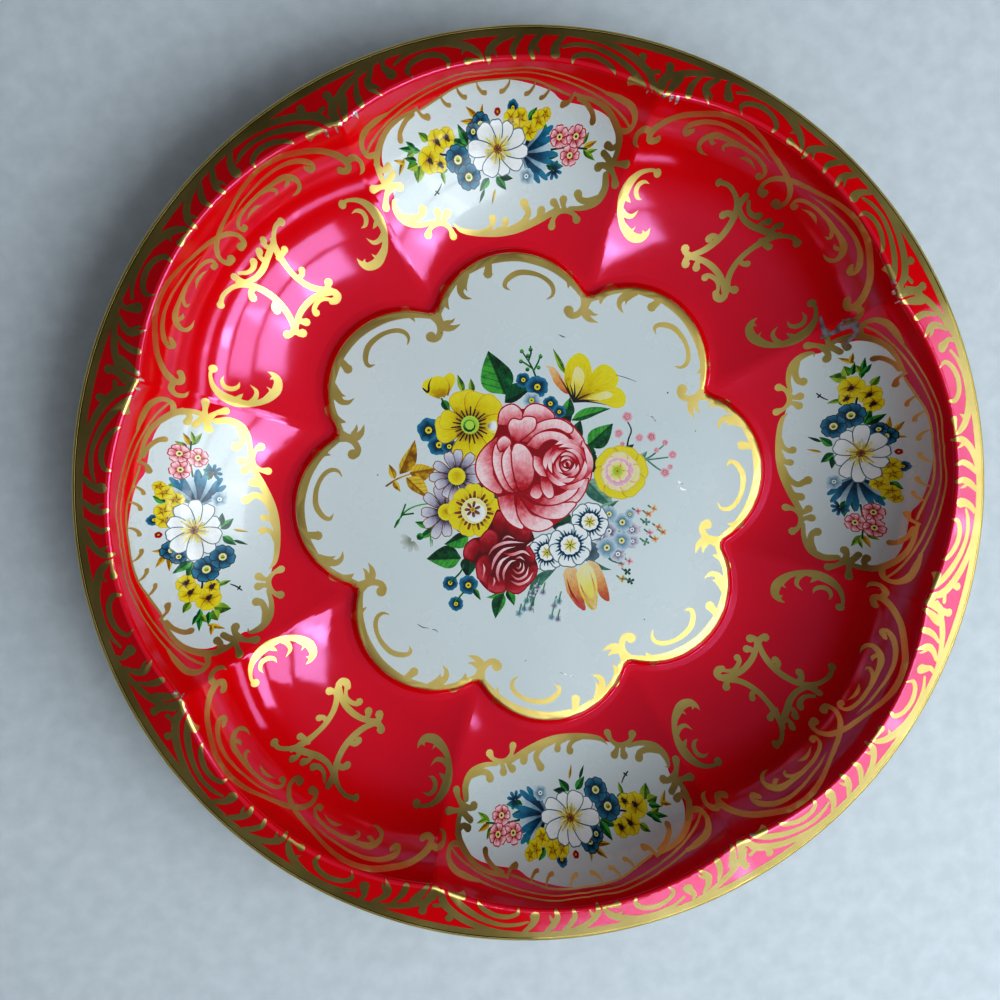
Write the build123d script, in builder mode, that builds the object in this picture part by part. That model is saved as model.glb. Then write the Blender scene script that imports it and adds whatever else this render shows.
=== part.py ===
"""A shallow round tinplate dish, ten inches across, pressed from one sheet.

The middle is a raised eight-lobed panel, a groove round it is the foot, the wall rises
in eight scalloped flutes, and the rim slopes down to an edge curled over a steel wire.
Millimetres, +Z up, origin on the table under the middle of the dish.
Lobes are centred on +X, on +Y and on every 45 degrees between.
"""

from build123d import *
from math import atan2, cos, degrees, radians, sin, tan
import os

# Driving dimensions
rim_radius = 127.0  # in plan, over the curled edge
crest_height = 38.0  # where the rim's cone meets the wall at its cusps, before rounding
tin_gauge = 0.3  # tinplate sheet
lobe_count = 8
cusp_round = 2.6  # in plan, where two lobes meet

# Middle panel: its reach at the middle of a lobe and at the cusp between two lobes
panel_lobe_reach = 71.6
panel_cusp_reach = 59.8
panel_rise = 2.8  # top of the panel above the sheet in the foot groove
panel_draft = 1.8  # how far the panel's step leans outwards on its way down
panel_edge_round = 1.0

# Foot groove that the dish stands on, between the panel's step and the wall
foot_width = 2.6
foot_step_round = 0.8  # on the sheet's upper face, as the other rounds are
foot_wall_round = 3.0

# Wall: each station's share of the rise, and its place from the foot (0) to the crest (1).
# The last station runs past the rim, so that the rim is cut right through.
wall_stations = (
    (0.0, 0.0),
    (0.08, 0.28),
    (0.23, 0.56),
    (0.45, 0.79),
    (0.72, 0.935),
    (1.0, 1.0),
    (1.3, 1.045),
)
crest_lobe_reach = 116.2
crest_cusp_reach = 110.8
crest_round = 1.1

# Rim: a shallow cone from the crest to the curled edge, and the wire in the curl
rim_slope = 22.0  # degrees below level
wire_diameter = 2.8
wire_clearance = 0.05
wire_butt_gap = 0.6  # where the two ends of the wire ring meet
curl_wrap = 300.0  # degrees of sheet round the wire

# Worked out from the sizes above
half_pitch = 180.0 / lobe_count
rim_fall = tan(radians(rim_slope))
rim_normal = (sin(radians(rim_slope)), cos(radians(rim_slope)))
curl_radius = wire_diameter / 2 + wire_clearance + tin_gauge
curl_centre_r = rim_radius - curl_radius
rim_end_r = curl_centre_r + curl_radius * rim_normal[0]
rim_end_z = crest_height - (rim_end_r - crest_cusp_reach) * rim_fall
curl_centre_z = rim_end_z - curl_radius * rim_normal[1]
crest_lobe_z = crest_height - (crest_lobe_reach - crest_cusp_reach) * rim_fall
foot_lobe_reach = panel_lobe_reach + panel_draft + foot_width
foot_cusp_reach = panel_cusp_reach + panel_draft + foot_width
step_lean = atan2(panel_rise, panel_draft)

# Working lengths of the solids that are cut away
overrun = 6.0  # how far they run past what they cut
level_tolerance = 0.01  # for picking out what lies at one height


def lobed_outline(lobe_reach, cusp_reach, z):
    """The eight-lobed outline at one height: an arc for each lobe, rounded at the cusps."""
    with BuildSketch(Plane.XY.offset(z)) as outline:
        with BuildLine():
            for lobe in range(lobe_count):
                middle = 2 * half_pitch * lobe
                ThreePointArc(
                    Vector(cusp_reach, 0).rotate(Axis.Z, middle - half_pitch),
                    Vector(lobe_reach, 0).rotate(Axis.Z, middle),
                    Vector(cusp_reach, 0).rotate(Axis.Z, middle + half_pitch),
                )
        make_face()
        fillet(outline.vertices(), cusp_round)
    return outline.sketch


def hollow(depth):
    """The space inside the wall, down to a depth below the sheet's upper face: 0 for the
    upper face itself, and one gauge for the under face."""
    rise = crest_lobe_z - tin_gauge
    lobe_run = crest_lobe_reach - foot_lobe_reach
    cusp_run = crest_cusp_reach - foot_cusp_reach
    sections = []
    for index, (share, place) in enumerate(wall_stations):
        before = wall_stations[max(index - 1, 0)]
        after = wall_stations[min(index + 1, len(wall_stations) - 1)]
        lean = atan2((after[0] - before[0]) * rise, (after[1] - before[1]) * lobe_run)
        if index == 0:  # the corner between two sheets moves by half the lean
            outwards, down = depth * tan(lean / 2), depth
        else:
            outwards, down = depth * sin(lean), depth * cos(lean)
        sections.append(
            lobed_outline(
                foot_lobe_reach + place * lobe_run + outwards,
                foot_cusp_reach + place * cusp_run + outwards,
                tin_gauge + share * rise - down,
            )
        )
    with BuildPart() as space:
        loft(sections)
    return space.part


def panel(depth):
    """The raised middle, from the foot's level up, for the upper face or the under face."""
    inwards = depth * tan(step_lean / 2)
    foot = lobed_outline(
        panel_lobe_reach + panel_draft - inwards,
        panel_cusp_reach + panel_draft - inwards,
        tin_gauge - depth,
    )
    top = lobed_outline(
        panel_lobe_reach - inwards,
        panel_cusp_reach - inwards,
        tin_gauge + panel_rise - depth,
    )
    with BuildPart() as boss:
        loft([foot, top])
        fillet(boss.faces().sort_by(Axis.Z)[-1].edges(), panel_edge_round - depth)
    return boss.part


def plan_reach(edge):
    """How far the middle of an edge is from the dish's axis, in plan."""
    middle = edge @ 0.5
    return Vector(middle.X, middle.Y).length


def on_crest(edge):
    """Whether an edge lies where the wall meets the rim."""
    reach = plan_reach(edge)
    near_wall = crest_cusp_reach - crest_round < reach < crest_lobe_reach + crest_round
    return near_wall and (edge @ 0.5).Z > crest_lobe_z - crest_round


def block_under(depth, past_rim):
    """Everything under the sheet's upper face (depth 0) or its under face (one gauge),
    out to the end of the rim or past it."""
    drop = depth / rim_normal[1]
    end_r = rim_end_r + past_rim
    end_z = rim_end_z - past_rim * rim_fall - drop
    skirt_r = end_r - overrun * rim_normal[0]
    lid_r = crest_cusp_reach - overrun
    lid_z = crest_height + overrun * rim_fall - drop
    floor_z = tin_gauge - depth
    floor_levels = (floor_z - level_tolerance, floor_z + level_tolerance)
    with BuildPart() as block:
        with BuildSketch(Plane.XZ):
            with BuildLine():
                Polyline(
                    (0, -overrun),
                    (skirt_r, -overrun),
                    (skirt_r, end_z - overrun * rim_normal[1]),
                    (end_r, end_z),
                    (lid_r, lid_z),
                    (0, lid_z),
                    close=True,
                )
            make_face()
        revolve(axis=Axis.Z)
        add(hollow(depth), mode=Mode.SUBTRACT)
        fillet(block.edges().filter_by(on_crest), crest_round - depth)
        fillet(block.edges().filter_by_position(Axis.Z, *floor_levels), foot_wall_round + depth)
        add(panel(depth))
        foot_ring = block.faces().filter_by_position(Axis.Z, *floor_levels)[0]
        fillet(foot_ring.inner_wires()[0].edges(), foot_step_round + depth)
    return block.part


# The dish: what lies between the sheet's two faces, and the edge curled round the wire
with BuildPart() as dish_pressing:
    add(block_under(0, 0))
    add(block_under(tin_gauge, overrun), mode=Mode.SUBTRACT)
    with BuildSketch(Plane.XZ):
        with BuildLine():
            curl_centre = (curl_centre_r, curl_centre_z)
            outside = CenterArc(curl_centre, curl_radius, 90 - rim_slope, -curl_wrap)
            inside = CenterArc(curl_centre, curl_radius - tin_gauge, 90 - rim_slope, -curl_wrap)
            Line(outside @ 0, inside @ 0)
            Line(outside @ 1, inside @ 1)
        make_face()
    revolve(axis=Axis.Z)

# The steel wire that stiffens the rim: a ring, open by the gap between its two ends
with BuildPart() as rim_wire:
    with BuildSketch(Plane.XZ):
        with Locations((curl_centre_r, curl_centre_z)):
            Circle(wire_diameter / 2)
    revolve(axis=Axis.Z, revolution_arc=360 - degrees(wire_butt_gap / curl_centre_r))

dish_pressing.part.label = "dish_pressing"
rim_wire.part.label = "rim_wire"

print("over the rim", 2 * rim_radius, "high", dish_pressing.part.bounding_box().max.Z)
print("steel, grams", (dish_pressing.part.volume + rim_wire.part.volume) * 7.85e-3)

os.makedirs("parts", exist_ok=True)
export_step(dish_pressing.part, "parts/dish_pressing.step")
export_step(rim_wire.part, "parts/rim_wire.step")
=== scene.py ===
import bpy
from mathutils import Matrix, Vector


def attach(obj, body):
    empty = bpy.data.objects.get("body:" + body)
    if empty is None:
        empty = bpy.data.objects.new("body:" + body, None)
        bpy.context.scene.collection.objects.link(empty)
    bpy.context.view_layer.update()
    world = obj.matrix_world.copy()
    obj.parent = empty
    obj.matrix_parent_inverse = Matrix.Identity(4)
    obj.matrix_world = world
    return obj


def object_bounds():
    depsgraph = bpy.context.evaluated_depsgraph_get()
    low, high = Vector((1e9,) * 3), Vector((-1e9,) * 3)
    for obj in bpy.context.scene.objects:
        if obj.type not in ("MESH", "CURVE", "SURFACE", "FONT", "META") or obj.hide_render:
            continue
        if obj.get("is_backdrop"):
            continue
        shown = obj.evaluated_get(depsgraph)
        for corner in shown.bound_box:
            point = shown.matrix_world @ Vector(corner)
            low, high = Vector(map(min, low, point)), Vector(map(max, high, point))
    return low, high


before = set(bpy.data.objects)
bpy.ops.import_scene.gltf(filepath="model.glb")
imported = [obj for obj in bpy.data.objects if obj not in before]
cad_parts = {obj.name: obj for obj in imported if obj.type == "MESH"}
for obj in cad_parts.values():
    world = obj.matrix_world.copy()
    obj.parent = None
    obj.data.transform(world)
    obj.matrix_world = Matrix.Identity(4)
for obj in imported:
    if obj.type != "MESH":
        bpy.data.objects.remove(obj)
cad_low, cad_high = (list(corner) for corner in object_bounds())

# %% [markdown]
# # A printed tinplate dish
# The real dish is one round of tinplate, printed flat like a poster, varnished, and only then
# pressed to shape and curled over a wire. The pressed sheet and the wire come from the CAD
# frame and stay as they are. What Blender adds is the print: thin films of ink and gold
# lacquer that lie on the pressed sheet and follow every bend of it.
# Drawings are made in plan, in millimetres, with the origin under the middle of the dish.

# %% Tools and measures
import math
import random

import bmesh
import bpy
from mathutils import Matrix, Vector
from mathutils.bvhtree import BVHTree
from mathutils.geometry import delaunay_2d_cdt

MM = 0.001
LOBES = 8
LOBE_TURN = 360 / LOBES
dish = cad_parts["dish_pressing"]
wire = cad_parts["rim_wire"]
rim_reach = cad_high[0] / MM
dish_height = cad_high[2] / MM
print(f"the dish is {2 * rim_reach:.1f} mm across and {dish_height:.1f} mm high")

# %% [markdown]
# ## The camera
# Someone stands over a low table and looks down into the dish, a little off its middle.
# A camera could be given three angles, but they are hard to guess. Three plain facts say the
# same: where the lens is, the point on the dish that it looks at, and how far the camera is
# rolled about that line.

# %% Camera
lens_place = Vector((-0.0299, 0.0185, 0.3058))
looks_at = Vector((-0.0102, -0.0019, 0.003))
camera_roll = 6.6  # degrees, clockwise from +Y
lens_mm, sensor_mm = 36.0, 36.0


def aim(thing, place, target, up=(0, 1, 0)):
    """Puts a camera or a lamp at a place, pointing at a target, with one side upwards."""
    forward = (target - place).normalized()
    right = forward.cross(Vector(up)).normalized()
    upwards = right.cross(forward)
    axes = Matrix((right, upwards, -forward)).transposed()
    thing.matrix_world = Matrix.Translation(place) @ axes.to_4x4()


camera_data = bpy.data.cameras.new("studio_camera")
camera_data.lens = lens_mm
camera_data.sensor_width = sensor_mm
camera = bpy.data.objects.new("studio_camera", camera_data)
bpy.context.scene.collection.objects.link(camera)
roll = math.radians(camera_roll)
aim(camera, lens_place, looks_at, up=(math.sin(roll), math.cos(roll), 0))
bpy.context.scene.camera = camera
print("camera", round((lens_place - looks_at).length / MM), "mm from the panel")

# %% [markdown]
# ## Inks and lacquers
# Every colour on the dish is a coat on steel: opaque enamels, printed inks, and a clear
# yellow lacquer that turns bare tin to gold. All of them get a glossy clear coat. The small
# unevenness that makes such a surface look real is in its roughness and in a faint bump.

# %% A short way to write shader nodes
def shader(name):
    """A new material with a Principled shader, and a function that adds nodes to it."""
    material = bpy.data.materials.new(name)
    material.use_nodes = True
    tree = material.node_tree
    principled = tree.nodes["Principled BSDF"]

    def add(kind, *links, **values):
        """Adds a node; links fill its inputs in order, and values set inputs or settings."""
        node = tree.nodes.new("ShaderNode" + kind)
        for key, value in values.items():
            label = key.replace("_", " ").title()
            if hasattr(node, key):
                setattr(node, key, value)
            else:
                node.inputs[label].default_value = value
        for socket, source in zip(node.inputs, links):
            if source is not None:
                if isinstance(source, (int, float, tuple)):
                    socket.default_value = source
                else:
                    tree.links.new(source, socket)
        return node

    def link(source, socket):
        tree.links.new(source, socket)

    return material, principled, add, link


def ramp(add, source, *stops):
    """A colour ramp; each stop is a place and a grey or a colour."""
    node = add("ValToRGB", source)
    elements = node.color_ramp.elements
    while len(elements) < len(stops):
        elements.new(0.5)
    for element, (place, colour) in zip(elements, stops):
        element.position = place
        shade = (colour,) * 3 if isinstance(colour, (int, float)) else colour
        element.color = (*shade, 1)
    return node.outputs[0]


def blend(add, amount, first, second, kind="MIX"):
    """Mixes two colours, each a socket or three numbers."""
    node = add("Mix", data_type="RGBA", blend_type=kind)
    for socket, value in zip((node.inputs[0], node.inputs[6], node.inputs[7]),
                             (amount, first, second)):
        if isinstance(value, (int, float)):
            socket.default_value = value
        elif isinstance(value, tuple):
            socket.default_value = (*value, 1)
        else:
            node.id_data.links.new(value, socket)
    return node.outputs[2]


def gloss(principled, add, link, place, low=0.16, high=0.3, coat=1.0, bump=0.05, tint=None):
    """The clear coat: uneven roughness and a faint orange-peel bump."""
    peel = add("TexNoise", place, scale=420.0, detail=2.0).outputs[0]
    smear = add("TexNoise", place, scale=38.0, detail=6.0, roughness=0.62).outputs[0]
    link(add("MapRange", smear, 0.3, 0.75, low, high).outputs[0], principled.inputs["Roughness"])
    raised = add("Bump", strength=bump, distance=0.0002)
    link(peel, raised.inputs["Height"])
    link(raised.outputs[0], principled.inputs["Normal"])
    if tint:
        principled.inputs["Specular Tint"].default_value = (*tint, 1)
    principled.inputs["Coat Weight"].default_value = coat
    principled.inputs["Coat Roughness"].default_value = 0.06
    principled.inputs["Coat IOR"].default_value = 1.5


# %% White and red enamel, and gold lacquer
def white_enamel():
    material, principled, add, link = shader("white_enamel")
    place = add("TexCoord").outputs["Object"]
    cloud = add("TexNoise", place, scale=14.0, detail=5.0).outputs[0]
    specks = add("TexVoronoi", place, scale=170.0).outputs["Distance"]
    ground = ramp(add, cloud, (0.3, (0.63, 0.70, 0.705)), (0.7, (0.69, 0.755, 0.757)))
    dirt = ramp(add, specks, (0.0, 0.75), (0.045, 1.0))
    link(blend(add, 1.0, ground, dirt, "MULTIPLY"), principled.inputs["Base Color"])
    gloss(principled, add, link, place, low=0.2, high=0.36, coat=0.5)
    return material


def gold_lacquer():
    material, principled, add, link = shader("gold_lacquer")
    place = add("TexCoord").outputs["Object"]
    cloud = add("TexNoise", place, scale=60.0, detail=4.0).outputs[0]
    tone = ramp(add, cloud, (0.3, (0.57, 0.44, 0.14)), (0.7, (0.76, 0.60, 0.25)))
    link(tone, principled.inputs["Base Color"])
    principled.inputs["Metallic"].default_value = 1.0
    gloss(principled, add, link, place, low=0.3, high=0.48, coat=0.3, bump=0.08)
    return material


def tin_coats():
    """The pressed sheet's own coats: red enamel inside, gold lacquer under it and on the curl, that gold
    darkened as painted shade.
    """
    material, principled, add, link = shader("red_enamel_over_gold")
    place = add("TexCoord").outputs["Object"]
    split = add("SeparateXYZ", place)
    reach = add("Math", split.outputs[0], 2.0, operation="POWER")
    across = add("Math", split.outputs[1], 2.0, operation="POWER")
    square = add("Math", reach.outputs[0], across.outputs[0], operation="ADD")
    radius = add("Math", square.outputs[0], operation="SQRT").outputs[0]
    gold_from = (rim_reach - 3.0) * MM
    on_curl = add("MapRange", radius, gold_from, gold_from + 0.15 * MM).outputs[0]
    facing = add("SeparateXYZ", add("NewGeometry").outputs["True Normal"]).outputs[2]
    outside = add("Math", facing, 0.0, operation="LESS_THAN").outputs[0]
    golden = add("Math", on_curl, outside, operation="MAXIMUM").outputs[0]

    cloud = add("TexNoise", place, scale=22.0, detail=5.0).outputs[0]
    red = ramp(add, cloud, (0.3, (0.66, 0.0, 0.002)), (0.72, (0.80, 0.0, 0.004)))
    tone = add("TexNoise", place, scale=60.0, detail=4.0).outputs[0]
    # painted shade: the gold under the sheet and on the curl is mixed much darker than the printed gold
    # lacquer, standing in for the shadowed table and dim room these faces look at
    yellow = ramp(add, tone, (0.3, (0.26, 0.20, 0.05)), (0.7, (0.40, 0.31, 0.09)))
    scuff = add("TexNoise", place, scale=9.0, detail=8.0, roughness=0.7).outputs[0]
    worn = ramp(add, scuff, (0.62, 0.0), (0.7, 0.55))
    yellow = blend(add, worn, yellow, (0.42, 0.40, 0.34))
    link(blend(add, golden, red, yellow), principled.inputs["Base Color"])
    link(golden, principled.inputs["Metallic"])
    principled.inputs["Specular IOR Level"].default_value = 1.0
    principled.inputs["IOR"].default_value = 1.62
    gloss(principled, add, link, place, low=0.06, high=0.15, coat=0.0, tint=(0.8, 0.5, 1.0))
    return material


inks = {"white_enamel": white_enamel(), "gold_lacquer": gold_lacquer()}
dish_coats = tin_coats()
dish.data.materials.clear()
dish.data.materials.append(dish_coats)
print("coats:", ", ".join(inks), "and", dish_coats.name)


# %% The steel wire
def drawn_wire():
    material, principled, add, link = shader("drawn_steel_wire")
    place = add("TexCoord").outputs["Object"]
    rust = add("TexNoise", place, scale=90.0, detail=6.0).outputs[0]
    tone = ramp(add, rust, (0.45, (0.42, 0.42, 0.43)), (0.7, (0.30, 0.20, 0.12)))
    link(tone, principled.inputs["Base Color"])
    link(ramp(add, rust, (0.4, 1.0), (0.72, 0.35)), principled.inputs["Metallic"])
    gloss(principled, add, link, place, low=0.35, high=0.6, coat=0.0, bump=0.1)
    return material


wire.data.materials.clear()
wire.data.materials.append(drawn_wire())
print("the wire's coat:", wire.data.materials[0].name)

# %% [markdown]
# ## Drawing with a few points
# A printer's artist drew this dish with a brush: each scroll is one swelling stroke, each
# petal one rounded patch. The same two moves are enough here. A stroke is a smooth line with
# a width at each of its points; a patch is a closed outline made of smooth runs.

# %% Smooth lines
def smooth(points, fine=5):
    """A smooth open line through points (Catmull-Rom); it carries any further values along."""
    rows = [tuple(2 * a - b for a, b in zip(points[0], points[1])), *points,
            tuple(2 * a - b for a, b in zip(points[-1], points[-2]))]
    line = []
    for before, start, end, after in zip(rows, rows[1:], rows[2:], rows[3:]):
        for step in range(fine):
            t = step / fine
            line.append(tuple(
                0.5 * (2 * b + (c - a) * t + (2 * a - 5 * b + 4 * c - d) * t * t
                       + (3 * b - a - 3 * c + d) * t ** 3)
                for a, b, c, d in zip(before, start, end, after)))
    line.append(tuple(points[-1]))
    return line


def polar(radius, degrees, x=0.0, y=0.0):
    angle = math.radians(degrees)
    return (x + radius * math.cos(angle), y + radius * math.sin(angle))


# %% Patches: what the printer lays down, each with its ink and its own grain
class Patch:
    """One patch of ink: its outline, its ink, and the grain that shades it.

    The grain is ("along", base, tip, half width) on a petal or a leaf, and
    ("round", middle, radius) on what grows out of a middle."""

    def __init__(self, outline, ink, grain=None):
        self.outline = [tuple(point[:2]) for point in outline]
        self.ink = ink
        self.grain = grain or ("round", self.outline[0], 10.0)

    def moved(self, place):
        """The same patch, with every point passed through place, a function of x and y."""
        kind, *facts = self.grain
        facts = [place(*fact) if isinstance(fact, tuple) else fact for fact in facts]
        return Patch([place(*point) for point in self.outline], self.ink, (kind, *facts))

    def at(self, x, y):
        """Where a point is in the grain: how far along, and how far to the side."""
        kind, first, second, *width = self.grain
        if kind == "round":
            away = (x - first[0], y - first[1])
            return math.hypot(*away) / second, math.degrees(math.atan2(away[1], away[0])) / 30
        run = (second[0] - first[0], second[1] - first[1])
        length = math.hypot(*run) or 1.0
        run = (run[0] / length, run[1] / length)
        away = (x - first[0], y - first[1])
        return ((away[0] * run[0] + away[1] * run[1]) / length,
                (away[1] * run[0] - away[0] * run[1]) / width[0])


def turned(patches, degrees, flip=False):
    """Copies of patches, mirrored if asked (in their own x), and turned about the dish's middle."""
    sine, cosine = math.sin(math.radians(degrees)), math.cos(math.radians(degrees))
    side = -1 if flip else 1

    def place(px, py):
        return (side * px * cosine - py * sine, side * px * sine + py * cosine)

    return [patch.moved(place) for patch in patches]


# %% Strokes, balls, leaves and petals
def stroke(points, ink="gold_lacquer", fine=4):
    """A swelling stroke through points (x, y, width); an end with width is rounded off."""
    line = smooth(points, fine)
    left, right = [], []
    for index, (x, y, width) in enumerate(line):
        ahead = line[min(index + 1, len(line) - 1)]
        behind = line[max(index - 1, 0)]
        run = (ahead[0] - behind[0], ahead[1] - behind[1])
        length = math.hypot(*run) or 1.0
        half = max(width, 0.0) / 2
        side = (-run[1] / length * half, run[0] / length * half)
        left.append((x + side[0], y + side[1]))
        right.append((x - side[0], y - side[1]))

    def cap(start, middle):
        """The rounded end that starts at one side of the line and ends at the other."""
        x, y, width = middle
        if width < 0.3:
            return []
        angle = math.degrees(math.atan2(start[1] - y, start[0] - x))
        return [polar(width / 2, angle - turn, x, y) for turn in (45, 90, 135)]

    outline = left + cap(left[-1], line[-1]) + right[::-1] + cap(right[0], line[0])
    widest = max(point[2] for point in line) or 0.5
    return Patch(outline, ink, ("along", tuple(line[0][:2]), tuple(line[-1][:2]), widest))


def ball(x, y, radius, ink="gold_lacquer", points=12):
    outline = [polar(radius, 360 * step / points, x, y) for step in range(points)]
    return Patch(outline, ink, ("round", (x, y), radius))


def patch(runs, ink, base=None, tip=None):
    """A closed outline made of smooth runs; where two runs meet there may be a corner."""
    outline = []
    for run, following in zip(runs, runs[1:] + runs[:1]):
        line = smooth(run, 4) if len(run) > 2 else [tuple(point) for point in run]
        outline += line[:-1] if math.dist(line[-1], following[0]) < 1e-6 else line
    if base is None:
        return Patch(outline, ink)
    run = (tip[0] - base[0], tip[1] - base[1])
    length = math.hypot(*run)
    half = max(abs((y - base[1]) * run[0] - (x - base[0]) * run[1]) / length for x, y in outline)
    return Patch(outline, ink, ("along", base, tip, max(half, 0.2)))


def leaf(base, tip, width, ink="leaf_green", bend=0.0):
    """A pointed leaf from its base to its tip; bend bows it to the left of that line."""
    widest = 0.42  # where it is widest, as a share of its length
    (x0, y0), (x1, y1) = base, tip
    along, side = (x1 - x0, y1 - y0), (y0 - y1, x1 - x0)
    length = math.hypot(*along)

    def point(share, offset):
        bow = 4 * bend * share * (1 - share)
        return (x0 + along[0] * share + side[0] * (bow + offset / length),
                y0 + along[1] * share + side[1] * (bow + offset / length))

    half = width / 2
    up = [point(0, 0), point(widest * 0.45, half * 0.8), point(widest, half),
          point((1 + widest) / 2, half * 0.62), point(1, 0)]
    down = [point(1, 0), point((1 + widest) / 2, -half * 0.62), point(widest, -half),
            point(widest * 0.45, -half * 0.8), point(0, 0)]
    return patch([up, down], ink, base, tip)


def petal(x, y, degrees, near, far, width, ink, notch=0.0):
    """A rounded petal that grows outwards from a flower's middle."""
    def point(radius, offset):
        px, py = polar(radius, degrees, x, y)
        sx, sy = polar(offset, degrees + 90)
        return (px + sx, py + sy)

    long = far - near
    half = width / 2
    outline = smooth([
        point(near, -half * 0.3), point(near + long * 0.35, -half * 0.78),
        point(near + long * 0.72, -half), point(far - long * 0.06, -half * 0.62),
        point(far - notch, 0),
        point(far - long * 0.06, half * 0.62), point(near + long * 0.72, half),
        point(near + long * 0.35, half * 0.78), point(near, half * 0.3)], 3)
    return Patch(outline, ink, ("along", point(near, 0), point(far, 0), half))


def rosette(x, y, petals, near, far, width, ink, turn=0.0, uneven=0.0, notch=0.0, seed=1):
    """A ring of petals round a middle, with a little hand-drawn unevenness."""
    chance = random.Random(seed)
    made = []
    for index in range(petals):
        angle = turn + 360 * index / petals + chance.uniform(-1, 1) * uneven * 20
        reach = far * (1 + chance.uniform(-1, 1) * uneven * 0.3)
        made.append(petal(x, y, angle, near, reach, width, ink, notch))
    return made


def edged(parts, spread, ink):
    """Each patch on a slightly larger one in a darker ink, which parts it from what it lies on."""
    made = []
    for part in parts:
        ring = part.outline
        turned_left = sum(a[0] * b[1] - b[0] * a[1] for a, b in zip(ring, ring[1:] + ring[:1])) > 0
        out = spread if turned_left else -spread
        grown = []
        for before, (x, y), after in zip(ring[-1:] + ring[:-1], ring, ring[1:] + ring[:1]):
            run = (after[0] - before[0], after[1] - before[1])
            length = math.hypot(*run) or 1.0
            grown.append((x + run[1] / length * out, y - run[0] / length * out))
        made += [Patch(grown, ink, part.grain), part]
    return made


print("a stroke, a ball, a patch, a leaf, a petal and a rosette can be drawn")

# %% [markdown]
# ## Laying a print on the pressed sheet
# Overlapping patches would fight over the same spot, so they are cut against each other like
# marquetry: the drawing is divided wherever two outlines or the CAD sheet's own facets
# cross, and each division takes the ink of the topmost patch over it. Every division lies
# within one facet, so the film follows the sheet exactly, a few hundredths proud of it.

# %% The sheet's upper face, as triangles and as a surface to drop points on
film_lift = 0.03 * MM
film_thickness = 0.06 * MM
sheet_mesh = dish.data
sheet_mesh.calc_loop_triangles()
sheet_points = [vertex.co.copy() for vertex in sheet_mesh.vertices]
sheet_normals = [Vector(item.vector) for item in sheet_mesh.corner_normals]
sheet_faces = []
for triangle in sheet_mesh.loop_triangles:
    middle = sum((sheet_points[index] for index in triangle.vertices), Vector()) / 3
    if triangle.normal.z > 0.02 and math.hypot(middle.x, middle.y) < (rim_reach - 1.0) * MM:
        sheet_faces.append((tuple(triangle.vertices), tuple(triangle.loops)))
sheet_tree = BVHTree.FromPolygons(sheet_points, [corners for corners, _ in sheet_faces])
print(len(sheet_faces), "facets look upwards")


def drop(x, y):
    """The sheet's upper face under a point in millimetres: the place, and the normal there."""
    place, _, index, _ = sheet_tree.ray_cast(Vector((x * MM, y * MM, 1.0)), Vector((0, 0, -1)))
    if place is None:
        place, _, index, _ = sheet_tree.find_nearest(Vector((x * MM, y * MM, dish_height * MM)))
    corners, loops = sheet_faces[index]
    a, b, c = (sheet_points[corner] for corner in corners)
    whole = (b - a).cross(c - a).length or 1.0
    shares = ((b - place).cross(c - place).length / whole,
              (c - place).cross(a - place).length / whole,
              (a - place).cross(b - place).length / whole)
    normal = sum((sheet_normals[loop] * share for loop, share in zip(loops, shares)), Vector())
    return place, normal.normalized()


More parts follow.
